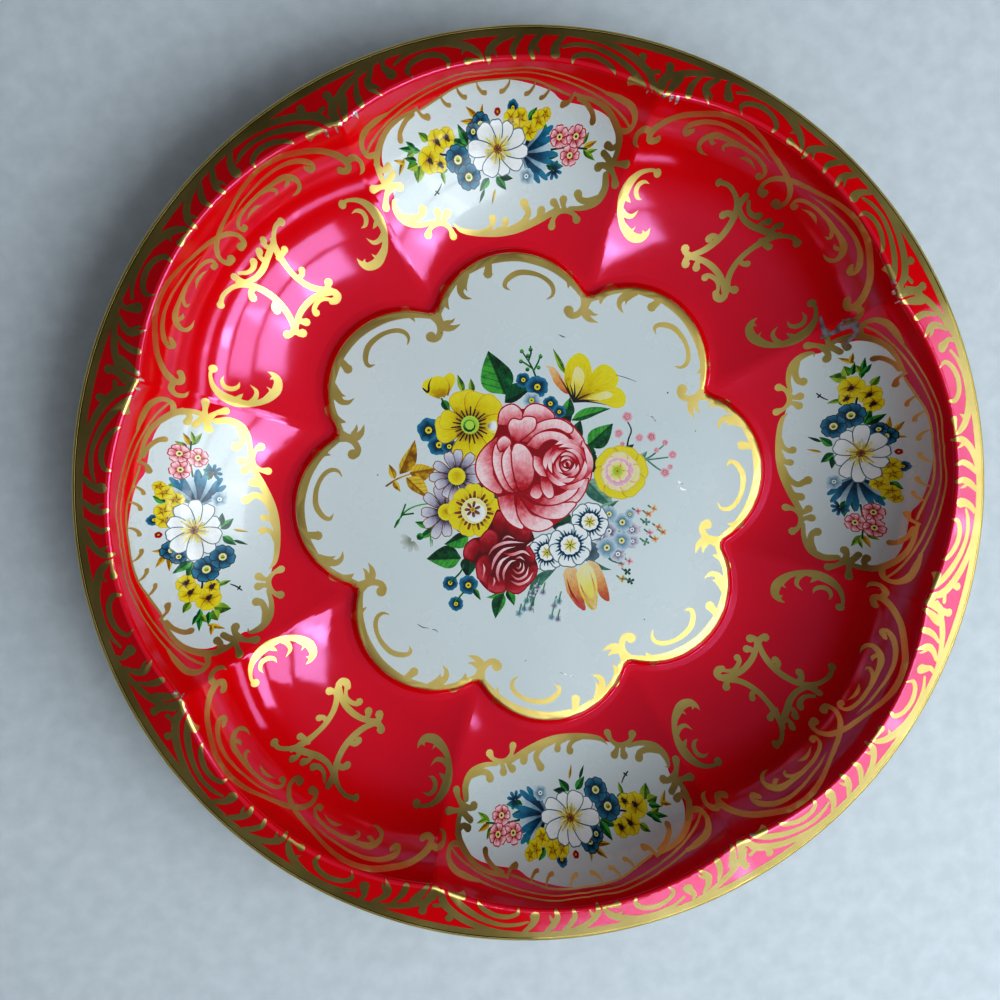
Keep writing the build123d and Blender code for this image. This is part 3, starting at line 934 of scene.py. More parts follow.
# %% Back of the posy: sprays and leaves
posy = [
    leaf((-4.8, 29.6), (-8.6, 43.2), 9.8, "leaf_green", 0.05),
    leaf((-5.4, 27.2), (4.6, 31.0), 5.0, "dark_leaf", 0.14),
    leaf((-8.0, 22.6), (-6.8, 27.4), 3.4, "dark_leaf"),
    leaf((14.2, 19.6), (26.6, 21.8), 3.2, "leaf_green", 0.06),
    leaf((12.8, 20.4), (14.6, 26.6), 4.0, "leaf_green"),
    leaf((13.8, 33.8), (11.0, 41.8), 1.7, "lime_leaf"),
    leaf((18.4, 11.2), (26.8, 17.2), 6.4, "leaf_green", -0.03),
    leaf((14.0, 13.0), (17.0, 19.4), 4.2, "dark_leaf"),
    leaf((17.8, 3.0), (20.6, 8.4), 4.0, "dark_leaf"),
    leaf((16.6, 1.0), (23.8, -8.4), 7.0, "sea_leaf", 0.06),
    leaf((-24.0, -18.0), (-34.4, -17.0), 7.0, "leaf_green", -0.04),
    leaf((-20.8, -11.2), (-28.6, -13.2), 4.6, "leaf_green", 0.1),
    ball(-13.0, -3.0, 5.0, "dark_leaf", 10), ball(-12.6, 3.4, 4.0, "dark_leaf", 9),
    ball(8.0, -11.0, 3.4, "dark_leaf", 9),
    ball(17.6, 9.0, 3.0, "dark_leaf", 9), ball(12.0, 21.0, 2.6, "dark_leaf", 9),
    leaf((-21.6, -17.8), (-22.8, -24.2), 4.8, "dark_leaf"),
    leaf((-11.6, -29.6), (-17.8, -31.0), 1.8, "leaf_green", 0.1),
    leaf((-12.4, -30.4), (-15.8, -37.8), 4.0, "leaf_green", -0.08),
    leaf((-11.4, -29.6), (-9.6, -34.6), 2.6, "leaf_green", 0.08),
    leaf((4.6, -24.8), (-4.0, -37.8), 3.4, "sea_leaf", -0.22),
    leaf((14.6, -23.0), (21.6, -27.4), 1.7, "sea_leaf", -0.1),
    # ochre sprig at the left
    sprig([(-43.8, 6.4), (-40.6, 8.0), (-36.0, 9.2), (-31.0, 9.6)], "ochre"),
    leaf((-39.4, 9.4), (-33.6, 19.2), 4.4, "ochre_leaf", -0.08),
    leaf((-36.4, 9.4), (-28.4, 9.8), 5.4, "ochre_leaf", -0.05),
    leaf((-37.6, 8.2), (-31.6, 1.0), 4.6, "ochre_leaf", 0.08),
    leaf((-41.0, 8.2), (-42.2, 12.8), 2.2, "ochre_leaf"),
    leaf((-41.6, 7.6), (-39.8, 4.2), 1.8, "ochre_leaf"),
    # stems and thin sprays
    sprig([(-24.2, 30.6), (-23.4, 28.6), (-22.2, 25.8)]),
    leaf((-24.0, 30.2), (-22.2, 26.0), 2.4, "leaf_green"),
    leaf((-17.4, 31.8), (-18.6, 37.2), 2.0, "lime_leaf"),
    leaf((-14.8, 31.2), (-14.8, 35.6), 1.9, "lime_leaf"),
    sprig([(5.0, 33.2), (4.2, 36.4), (3.0, 39.2), (1.4, 42.2)]),
    sprig([(4.4, 35.8), (6.2, 38.4), (7.0, 40.4)]),
    sprig([(4.0, 36.6), (2.4, 38.0), (0.9, 39.2)]),
    sprig([(3.2, 39.0), (4.2, 41.2), (4.3, 43.2)]),
    *[ball(x, y, 0.65, "leaf_green", 7) for x, y in
      ((1.5, 42.0), (4.2, 42.2), (7.0, 39.8), (0.9, 39.0), (3.2, 40.4), (6.0, 36.6), (2.6, 36.4))],
    sprig([(-42.8, -6.2), (-39.4, -2.2), (-35.4, -0.6), (-30.6, -0.4)], "leaf_green"),
    sprig([(-40.6, -3.4), (-38.8, 0.2)]), sprig([(-40.0, -2.8), (-36.8, -2.8)]),
    leaf((-41.0, -3.8), (-43.0, -6.6), 0.9, "leaf_green"),
    sprig([(-32.2, -11.6), (-32.6, -13.4), (-32.2, -9.0), (-30.2, -6.8)]),
    leaf((-32.6, -7.4), (-36.6, -5.4), 2.0, "leaf_green"),
    leaf((-30.0, -8.0), (-36.6, -10.8), 2.4, "leaf_green"),
    ball(-35.6, -10.0, 1.1, "leaf_green", 9),
    *[petal(-38.0, -10.8, angle, 0.4, 3.8, 1.5, "faint_grey") for angle in (150, 185, 215, 250, 290)],
    # pink sprays at the right
    sprig([(30.0, 8.4), (31.0, 11.8), (32.2, 14.6), (31.2, 17.6)], "dark_leaf"),
    leaf((29.8, 8.6), (32.6, 10.2), 1.6, "dark_leaf"),
    sprig([(34.4, 5.0), (37.6, 6.0), (41.6, 8.8)], "sea_leaf"),
    sprig([(34.8, 5.0), (38.4, 5.0), (42.6, 5.0)], "sea_leaf"),
    leaf((33.6, 5.0), (36.4, 7.6), 1.8, "sea_leaf"),
    leaf((33.4, 3.4), (36.0, 1.2), 1.6, "sea_leaf"),
    sprig([(36.4, 4.6), (38.8, 2.2), (41.0, 0.6)], "sea_leaf"),
]
for index, (x, y, size) in enumerate((
        (31.4, 18.8, 1.6), (28.2, 14.0, 1.4), (34.4, 12.0, 1.3), (38.2, 11.8, 1.5), (42.2, 9.6, 1.0),
        (44.2, 5.6, 1.3), (41.2, 0.4, 1.5), (29.0, 10.6, 0.9), (39.4, 7.6, 0.9), (43.0, 2.0, 0.9))):
    posy += little_flower(x, y, size, "pale_pink", "rose_pink", turn=index * 25, seed=index)
for index, (x, y, ink) in enumerate((
        (31.6, -10.4, "pale_pink"), (34.8, -11.6, "peach"), (36.6, -10.2, "peach"),
        (33.8, -14.0, "sea_leaf"), (31.0, -15.8, "pale_pink"), (37.4, -16.0, "peach"),
        (34.6, -17.4, "pale_pink"), (38.8, -17.8, "peach"), (33.0, -20.0, "sea_leaf"),
        (36.0, -19.6, "peach"), (25.4, -23.6, "sea_leaf"), (27.4, -25.4, "pale_pink"),
        (24.8, -26.0, "pale_pink"), (26.4, -28.6, "dark_leaf"), (24.6, -30.6, "ochre"),
        (27.0, -31.6, "dark_leaf"))):
    posy.append(sprig([(x - 1.6, y + 1.2), (x - 0.6, y + 0.2), (x, y)], "sea_leaf"))
    posy += rosette(x, y, 4, 0.1, 1.2, 0.8, ink, index * 31, 0.3, 0, index)
for index, (x, y) in enumerate(((-3.6, -31.4), (-5.6, -33.6), (-1.8, -29.8), (-6.8, -36.0),
                                (-4.8, -36.2), (-8.4, -37.2), (2.6, -36.2), (1.4, -39.6),
                                (3.2, -40.4), (4.2, -35.0), (-0.4, -31.6))):
    posy += rosette(x, y, 5, 0.1, 1.25, 0.9, "pale_blue" if index % 2 else "mauve", index * 40, 0.3, 0, index)
    posy.append(sprig([(x, y), (x + 0.5, y + 1.6), (x + 1.0, y + 2.8)], "sea_leaf"))
print(len(posy), "patches at the back of the posy")

# %% Middle of the posy: tulips, open flowers and daisies
posy += [
    # the yellow tulip
    patch([[(8.2, 37.0), (11.0, 35.8), (13.2, 31.6), (14.8, 27.4)],
           [(14.8, 27.4), (12.6, 28.4), (10.2, 31.6), (9.2, 35.2), (8.2, 37.0)]], "peach", (14.4, 26.6),
          (8.2, 37.4)),
    patch([[(14.6, 26.4), (13.4, 31.6), (14.6, 36.8), (18.4, 39.6), (21.4, 37.4), (22.0, 32.0),
            (20.2, 28.0), (16.6, 25.6)]], "yellow", (15.4, 25.4), (18.8, 39.8)),
    patch([[(14.9, 26.6), (15.6, 31.6), (17.4, 35.6), (19.6, 33.6), (19.0, 29.6), (16.8, 25.8)]],
          "pale_yellow", (15.4, 25.4), (17.8, 36.4)),
    patch([[(17.2, 26.2), (20.4, 29.8), (22.6, 33.8), (26.0, 35.4), (29.0, 33.2), (29.8, 29.6),
            (26.2, 26.8), (21.0, 25.8)]], "yellow", (16.0, 25.2), (29.6, 33.6)),
    patch([[(16.8, 25.4), (21.0, 27.4), (26.0, 29.0), (30.0, 27.6), (31.6, 24.6), (30.4, 22.0),
            (27.4, 22.0), (24.0, 23.8), (20.0, 24.8)]], "yellow", (16.0, 25.2), (31.6, 24.0)),
    patch([[(18.2, 25.4), (22.0, 26.6), (26.0, 27.2), (27.6, 25.6), (24.0, 24.6), (20.4, 24.8)]],
          "pale_yellow", (16.6, 25.2), (28.0, 26.2)),
    *[stroke([(15.6, 25.2, 0.7), (x, y, 0.45), (x2, y2, 0)], "dark_line") for x, y, x2, y2 in
      ((14.4, 28.6, 13.8, 32.0), (16.2, 28.2, 16.4, 31.4), (17.6, 27.6, 19.4, 30.6),
       (18.6, 26.4, 22.4, 27.4), (19.2, 25.2, 23.4, 24.6), (15.4, 28.4, 15.0, 31.0),
       (13.8, 29.4, 11.6, 33.8), (20.4, 24.6, 27.0, 22.6))],
    # the yellow bud
    petal(-24.4, 31.0, 128, 0, 6.8, 4.6, "yellow"), petal(-23.8, 31.0, 62, 0, 7.6, 3.6, "yellow"),
    petal(-24.6, 31.0, 96, 0, 6.4, 5.6, "yellow"),
    stroke([(-29.4, 34.2, 0.4), (-28.0, 33.0, 0.7), (-27.4, 35.4, 0.4), (-26.2, 37.4, 0)], "dark_line"),
    stroke([(-22.2, 31.4, 0.4), (-21.4, 34.0, 0.5), (-22.0, 36.6, 0)], "ochre"),
]
# forget-me-nots at the back
for x, y, size, ink, petals, turn, seed in (
        (1.0, 33.4, 2.3, "blue", 5, 20, 4), (5.0, 30.8, 3.3, "blue", 5, 60, 5),
        (2.8, 27.0, 2.6, "pale_blue", 5, 10, 6), (8.4, 25.4, 2.4, "blue", 5, 35, 7),
        (10.8, 22.6, 2.0, "blue", 5, 5, 8), (-29.2, 21.6, 3.6, "blue", 6, 15, 9),
        (-26.6, 16.8, 3.3, "blue", 5, 50, 10), (-23.6, 16.0, 2.4, "blue", 5, 0, 11),
        (-28.2, -25.2, 2.3, "blue", 5, 12, 12), (-22.8, -26.6, 3.0, "blue", 5, 40, 13),
        (-27.2, -31.8, 2.2, "blue", 5, 70, 14)):
    posy += little_flower(x, y, size, ink, "yellow", petals, turn, seed)
posy += [sprig([(-28.2, -25.0), (-25.0, -22.6), (-23.4, -20.4)]), sprig([(-27.2, -31.0), (-24.6, -28.6)]),
         leaf((-21.4, -27.6), (-19.6, -31.6), 1.6, "leaf_green")]
posy += [leaf((19.0, -9.0), (26.0, -6.4), 2.4, "sea_leaf"),
         leaf((21.0, -15.0), (28.4, -16.4), 2.6, "sea_leaf"),
         leaf((20.0, -22.0), (25.6, -26.4), 2.2, "sea_leaf"),
         leaf((22.0, -17.0), (29.6, -21.6), 2.4, "sea_leaf"),
         ball(21.4, -15.8, 4.4, "sea_leaf", 10), ball(-3.0, -20.0, 3.0, "slate", 9),
         ball(12.8, -14.0, 4.0, "slate", 9),
         ball(5.6, -18.6, 3.6, "slate", 9), ball(15.6, -21.0, 3.2, "slate", 9)]
for x, y, size, seed in ((22.0, -15.4, 2.9, 51), (29.2, -15.8, 2.3, 52), (24.0, -22.8, 2.5, 53),
                         (29.0, -19.4, 2.0, 54), (19.4, -16.6, 2.6, 55)):
    posy += little_flower(x, y, size, "mauve", "white_petal", 6, seed * 9, seed)
for x, y, size, seed in ((26.4, -13.2, 3.2, 15), (25.6, -18.8, 3.2, 16), (20.8, -20.4, 3.4, 17),
                         (22.6, -10.2, 2.8, 18), (29.0, -11.0, 1.8, 19)):
    posy += little_flower(x, y, size, "pale_blue", "pale_yellow", 7, seed * 9, seed)
# the wide yellow flower with a green eye
for angle, far, width in ((98, 10.8, 8.4), (66, 10.4, 7.6), (38, 11.6, 7.0), (-12, 10.4, 8.2),
                          (-52, 8.6, 6.0), (-104, 10.6, 8.6), (-76, 9.6, 5.0), (182, 10.6, 8.0),
                          (160, 9.4, 5.6)):
    posy += edged([petal(-16.6, 21.6, angle, 2, far, width, "yellow", 0.4)], 0.28, "ochre")
posy.append(petal(-16.6, 21.6, -10, 4.6, 8.4, 4.0, "pale_yellow"))
posy.append(petal(-16.6, 21.6, -8, 5.4, 8.0, 2.8, "white_petal"))
for index in range(22):
    angle = index * 360 / 22
    posy.append(stroke([(*polar(3.0, angle, -16.6, 21.6), 0.5),
                        (*polar(4.6 + index % 3 * 0.5, angle, -16.6, 21.6), 0.4)],
                       "dark_line", 2))
posy += [ball(-16.6, 21.8, 2.8, "bud_green", 14), ball(-16.9, 21.5, 1.9, "leaf_green", 10),
         ball(-16.7, 21.7, 1.4, "bud_green", 9)]
# yellow and pink ranunculus
for x, y, count, far, width, ink, edge, start, seed in (
        (27.6, 2.0, 6, 8.2, 8.0, "yellow", "ochre", 12, 21),
        (27.4, 2.2, 7, 6.0, 5.2, "pale_yellow", "peach", 40, 22),
        (27.0, 2.4, 7, 4.6, 3.8, "pale_pink", "rose_pink", 10, 23),
        (26.8, 2.6, 5, 3.0, 2.8, "pale_yellow", "rose_pink", 30, 24)):
    posy += edged(rosette(x, y, count, 0.5, far, width, ink, start, 0.16, 0.3, seed), 0.3, edge)
posy += [ball(26.6, 2.6, 1.7, "bud_green", 9), ball(26.6, 2.6, 0.8, "ochre", 7)]
# daisies, and the primrose with its dark ring
posy += daisy(-26.8, -3.6, 2.6, 8.2, 11, 8, 31) + daisy(-22.4, 6.8, 2.7, 7.9, 12, 20, 32)
posy += edged(rosette(-18.4, -4.2, 9, 1.0, 8.1, 5.0, "yellow", 5, 0.08, 0.3, 33), 0.25, "ochre")
for index in range(22):
    angle = index * 360 / 22
    posy.append(stroke([(*polar(3.9, angle, -18.4, -4.2), 0.8),
                        (*polar(5.7 if index % 2 else 5.0, angle, -18.4, -4.2), 0.75)],
                       "ochre" if index % 3 == 1 else "bark", 2))
posy += [ball(-18.4, -4.2, 4.0, "pale_yellow", 18), ball(-18.0, -4.8, 2.9, "white_petal", 12),
         *rosette(-18.8, -3.8, 7, 0.2, 2.5, 0.9, "bark", 15, 0.25, 0, 34), ball(-18.8, -3.8, 0.8, "ochre", 8)]
# the peach tulip
posy += [
    patch([[(6.4, -27.0), (7.8, -25.0), (10.8, -25.8), (11.4, -32.0), (12.2, -38.6), (9.6, -37.2),
            (7.0, -32.6)]],
          "peach", (9.0, -38.0), (9.2, -24.0)),
    patch([[(14.4, -23.4), (17.6, -25.2), (19.4, -31.0), (19.8, -36.8), (17.2, -35.2), (15.4, -30.0)]],
          "peach", (18.6, -37.0), (15.6, -23.4)),
    patch([[(10.4, -27.2), (12.8, -24.4), (15.6, -26.0), (16.6, -31.2), (15.6, -38.2), (13.4, -38.4),
            (11.0, -33.2)]],
          "pale_yellow", (14.4, -39.4), (13.2, -24.0)),
    stroke([(11.2, -30.0, 0), (12.4, -34.0, 0.7), (15.2, -38.4, 1.2)], "peach"),
    stroke([(14.8, -27.0, 0), (15.6, -32.0, 0.5), (15.4, -37.0, 0.7)], "peach"),
    stroke([(7.4, -28.0, 0), (8.4, -33.0, 0.6), (11.4, -38.4, 0.9)], "crimson"),
]
for x, y, size, turn, seed in ((2.3, -19.6, 5.6, 10, 41), (16.4, -11.8, 5.9, 24, 42),
                               (9.6, -18.2, 6.6, 0, 43)):
    posy += auricula(x, y, size, turn, seed)
print(len(posy), "patches with the tulips and the open flowers")

# %% Front of the posy: the crimson rose
posy += [
    patch([[(-13.4, -8.0), (-11.2, -4.6), (-9.0, -7.0), (-5.0, -8.6), (-1.8, -12.4), (-1.0, -15.2)],
           [(-1.0, -15.2), (-3.8, -17.0), (-2.0, -20.0), (-1.0, -23.6), (-2.2, -27.0), (-5.0, -29.4),
            (-8.2, -31.2),
            (-11.4, -29.6), (-14.4, -30.4), (-17.2, -28.8), (-19.6, -25.0), (-20.0, -20.2)],
           [(-20.0, -20.2), (-23.2, -18.2), (-22.6, -14.6), (-20.0, -12.6), (-17.0, -12.2), (-15.0, -10.2)]],
          "crimson_shadow", (-10.0, -20.0), (-10.0, -34.0)),
    *[part for outline, base, tip in (
        ([(-13.0, -8.4), (-11.2, -5.4), (-8.8, -7.6), (-9.4, -11.6), (-12.4, -12.2)], (-10.8, -13.0),
         (-11.2, -4.6)),
        ([(-9.0, -8.0), (-5.0, -9.2), (-2.2, -12.6), (-4.0, -15.0), (-8.6, -13.6)], (-7.6, -14.6),
         (-3.6, -9.6)),
        ([(-20.6, -19.0), (-22.8, -17.6), (-22.2, -14.8), (-19.4, -13.0), (-17.4, -15.2)], (-17.0, -18.0),
         (-22.6, -14.6)),
        ([(-17.6, -13.0), (-14.6, -10.6), (-12.4, -12.8), (-14.0, -16.0), (-17.6, -17.4)], (-14.6, -18.0),
         (-15.8, -10.6)),
        ([(-19.6, -24.6), (-19.4, -20.4), (-16.6, -18.2), (-15.4, -22.0), (-16.6, -27.6)], (-13.6, -22.0),
         (-20.0, -22.4)),
        ([(-17.0, -28.6), (-14.2, -29.9), (-11.6, -29.0), (-13.2, -24.6), (-16.4, -24.8)], (-13.0, -23.0),
         (-15.0, -30.4)),
        ([(-11.4, -29.2), (-8.2, -30.9), (-5.2, -29.0), (-6.2, -26.6), (-10.4, -26.4)], (-8.4, -25.0),
         (-8.2, -31.2)),
        ([(-4.8, -28.8), (-2.4, -26.6), (-1.4, -23.6), (-3.4, -23.4), (-5.4, -26.2)], (-6.4, -23.6),
         (-2.2, -28.0)),
        ([(-3.2, -16.8), (-4.6, -19.4), (-2.6, -21.8), (-1.6, -20.4)], (-6.0, -20.0), (-1.8, -18.0)),
    ) for part in edged([patch([outline], "crimson", base, tip)], 0.4, "crimson_shadow")],
    *[stroke(points, "rose_pink") for points in (
        [(-16.2, -19.0, 0), (-13.8, -16.2, 0.7), (-9.6, -15.0, 0.9), (-4.2, -15.8, 0)],
        [(-15.6, -24.2, 0), (-14.0, -20.0, 0.9), (-11.0, -17.2, 0.8), (-7.0, -16.6, 0)],
        [(-11.6, -17.8, 0), (-8.6, -18.9, 0.9), (-5.0, -18.4, 0.8), (-2.8, -20.2, 0)],
        [(-13.0, -28.0, 0), (-13.6, -24.0, 0.9), (-12.0, -20.6, 0.9), (-9.0, -19.2, 0)],
        [(-11.8, -27.6, 0), (-11.6, -24.0, 0.8), (-9.4, -21.2, 0.7), (-7.4, -20.8, 0)],
        [(-10.4, -26.4, 0), (-7.6, -28.2, 0.8), (-4.6, -27.4, 0.7), (-2.6, -25.0, 0)],
        [(-9.8, -24.6, 0), (-7.6, -26.6, 0.7), (-5.0, -25.8, 0.7), (-3.8, -23.2, 0)],
        [(-9.0, -23.0, 0), (-7.4, -24.8, 0.6), (-5.6, -24.0, 0.6), (-5.2, -21.6, 0)],
        [(-8.0, -20.6, 0), (-6.2, -20.0, 0.6), (-4.8, -21.2, 0)],
        [(-7.8, -22.6, 0), (-7.0, -23.4, 0.5), (-6.2, -22.4, 0.4), (-6.4, -21.4, 0)],
        [(-18.6, -26.0, 0), (-17.4, -22.6, 0.6), (-17.6, -20.4, 0)],
        [(-11.4, -14.6, 0), (-9.4, -13.2, 0.6), (-7.0, -14.2, 0)],
        [(-15.8, -28.4, 0), (-14.8, -26.6, 0.6), (-14.8, -25.0, 0)],
    )],
]
print(len(posy), "patches with the crimson rose")

# %% Front of the posy: the pink rose
pink_rose_petals = (
    # outline; base; tip
    ([(-8.2, 21.0), (-6.8, 25.0), (-3.4, 26.4), (-1.0, 24.6), (-0.8, 22.0), (-4.0, 20.0)], (-4.0, 19.0),
     (-4.4, 26.6)),
    ([(-0.6, 22.0), (1.0, 24.9), (4.0, 25.7), (7.4, 23.9), (9.0, 21.0), (4.0, 19.8)], (3.6, 18.6),
     (4.2, 25.8)),
    ([(-8.8, 17.2), (-12.8, 14.6), (-15.6, 11.2), (-16.3, 7.0), (-14.6, 3.2), (-11.0, 0.3), (-9.2, 1.0),
      (-11.4, 6.0),
      (-10.4, 12.0)], (-8.0, 9.0), (-16.6, 8.0)),
    ([(9.0, 20.8), (12.8, 19.6), (15.4, 16.2), (17.2, 12.8), (15.6, 11.0), (13.2, 15.8)], (10.6, 13.0),
     (16.2, 18.2)),
    ([(17.0, 13.0), (18.9, 8.6), (18.7, 4.6), (17.6, 0.8), (15.8, 2.2), (16.6, 6.0), (15.8, 10.0)],
     (12.8, 6.8), (19.0, 7.4)),
    ([(17.4, 1.2), (15.8, -2.4), (12.8, -5.4), (9.8, -4.6), (13.2, -1.4), (15.2, 2.2)], (11.6, 1.4),
     (16.2, -4.0)),
    ([(-10.7, -1.0), (-10.2, -5.2), (-8.0, -9.2), (-4.4, -11.4), (-4.4, -8.0), (-6.0, -4.0), (-5.6, -0.4)],
     (-4.8, -0.6), (-9.6, -9.2)),
    ([(-4.6, -1.0), (-5.4, -6.0), (-3.6, -10.6), (0.5, -12.7), (5.0, -11.4), (3.2, -9.2), (-1.0, -7.6),
      (-3.2, -4.0)],
     (-3.0, -2.0), (-0.8, -12.9)),
    ([(-3.8, -1.4), (-1.4, -6.0), (3.0, -9.0), (8.0, -9.6), (11.2, -7.4), (12.6, -5.6), (8.8, -5.2),
      (4.0, -5.6), (0.0, -4.6)],
     (0.4, -2.4), (7.0, -10.4)),
    ([(-2.6, -0.8), (0.6, -3.8), (5.0, -5.2), (9.6, -4.5), (13.4, -2.0), (14.8, 1.8), (12.0, -0.6),
      (8.4, -2.4), (4.0, -3.0)],
     (3.0, 0.0), (10.6, -5.0)),
    ([(-3.0, 15.4), (1.0, 18.4), (6.0, 20.4), (10.8, 20.2), (14.2, 17.4), (13.0, 15.8), (9.4, 17.8),
      (4.4, 17.4), (0.0, 14.6)],
     (3.6, 11.0), (8.4, 21.4)),
    ([(-6.6, 16.6), (-9.6, 15.0), (-11.0, 10.0), (-10.2, 5.0), (-8.2, 1.0), (-5.4, 0.2), (-7.4, 5.0),
      (-7.8, 11.0), (-6.2, 15.0)],
     (-5.0, 8.0), (-11.2, 8.0)),
    ([(-8.6, 12.8), (-8.9, 15.6), (-6.8, 17.2), (-5.0, 15.6), (-5.2, 13.0)], (-6.6, 12.0), (-7.2, 17.6)),
    ([(-5.4, 14.4), (-7.9, 11.0), (-8.1, 6.0), (-6.4, 1.5), (-4.6, 0.1), (-5.4, 5.0), (-5.0, 10.0)],
     (-3.4, 6.0), (-8.5, 7.0)),
    ([(-4.6, 16.6), (-5.1, 20.0), (-3.6, 22.0), (-1.2, 21.4), (0.4, 22.2), (3.2, 21.4), (2.8, 18.6),
      (0.0, 16.6), (-2.8, 14.8)],
     (-1.6, 14.4), (-0.4, 22.6)),
    ([(-5.0, 12.0), (-3.6, 14.4), (-1.0, 13.6), (0.8, 10.6), (1.2, 6.6), (0.2, 2.6), (-1.6, 0.6),
      (-3.8, 0.4), (-4.8, 4.0),
      (-5.2, 8.0)], (-2.6, -1.0), (-2.4, 14.8)),
    ([(-0.2, 13.6), (3.0, 16.4), (7.0, 17.1), (11.0, 15.9), (13.2, 13.4), (11.2, 12.9), (8.0, 14.6),
      (5.0, 14.0), (3.0, 12.0)],
     (5.4, 10.4), (7.0, 17.6)),
    ([(1.6, 10.2), (1.3, 6.6), (3.5, 3.6), (5.4, 4.3), (5.0, 7.0), (3.4, 9.6)], (4.6, 7.4), (1.4, 6.4)),
    ([(0.4, 1.6), (-0.8, -1.4), (1.2, -2.9), (2.8, -1.4), (2.2, 1.6)], (1.2, 2.2), (0.8, -3.2)),
    ([(3.0, 3.6), (2.8, 0.0), (4.4, -3.0), (6.2, -2.4), (6.0, 1.0), (4.6, 3.0)], (5.0, 3.6), (3.8, -3.2)),
)
posy.append(patch([[(-8.0, 22.0), (-6.5, 25.3), (-3.0, 26.6), (-0.5, 24.8), (1.5, 25.2), (4.0, 25.8),
                    (7.5, 24.0), (9.0, 21.3),
                    (13.0, 19.8), (15.5, 16.2), (17.5, 12.7), (19.0, 8.5), (18.8, 5.0), (17.8, 1.0),
                    (16.0, -2.6), (13.0, -5.6),
                    (9.5, -9.0), (5.0, -11.6), (0.5, -12.9), (-4.0, -11.9), (-8.0, -9.6), (-10.0, -5.5),
                    (-10.8, -1.0),
                    (-14.5, 3.0), (-16.4, 7.0), (-15.6, 11.5), (-13.0, 14.6), (-10.0, 17.2), (-8.6, 19.6)]],
                  "rose_shadow", (2.0, 8.0), (2.0, -16.0)))
for outline, base, tip in pink_rose_petals:
    posy += edged([patch([outline], "rose_pink", base, tip)], 0.42, "rose_shadow")
# its heart: petals rolled round each other
posy.append(ball(11.4, 6.4, 7.3, "rose_shadow", 20))
for radius, start, sweep, width in (
        (7.0, 40, 75, 1.3), (7.2, 320, 76, 1.7), (7.2, 250, 66, 1.5), (6.6, 128, 60, 1.3),
        (6.2, 196, 66, 1.4),
        (5.8, 10, 100, 1.2), (5.7, 285, 80, 1.4), (5.2, 115, 90, 1.1), (4.9, 212, 84, 1.2),
        (4.5, 340, 110, 1.0), (4.3, 92, 80, 0.9), (3.9, 180, 90, 1.0), (3.6, 268, 86, 1.0),
        (3.2, 20, 100, 0.8), (2.9, 130, 110, 0.8), (2.5, 240, 120, 0.8), (2.0, 20, 130, 0.7),
        (1.7, 160, 130, 0.6), (1.0, 300, 150, 0.6), (0.7, 90, 160, 0.5)):
    arc = [(*polar(radius, start + sweep * step / 4, 11.3, 6.5),
            width * (0.3, 1, 1.15, 1, 0)[step]) for step in range(5)]
    posy.append(stroke(arc, "rose_tip"))
print(len(posy), "patches in the posy")

# %% [markdown]
# ## The small posies
# Each medallion carries the same small posy, its top towards the rim. It is drawn on
# the +X lobe with the medallion's frame and turned with it.

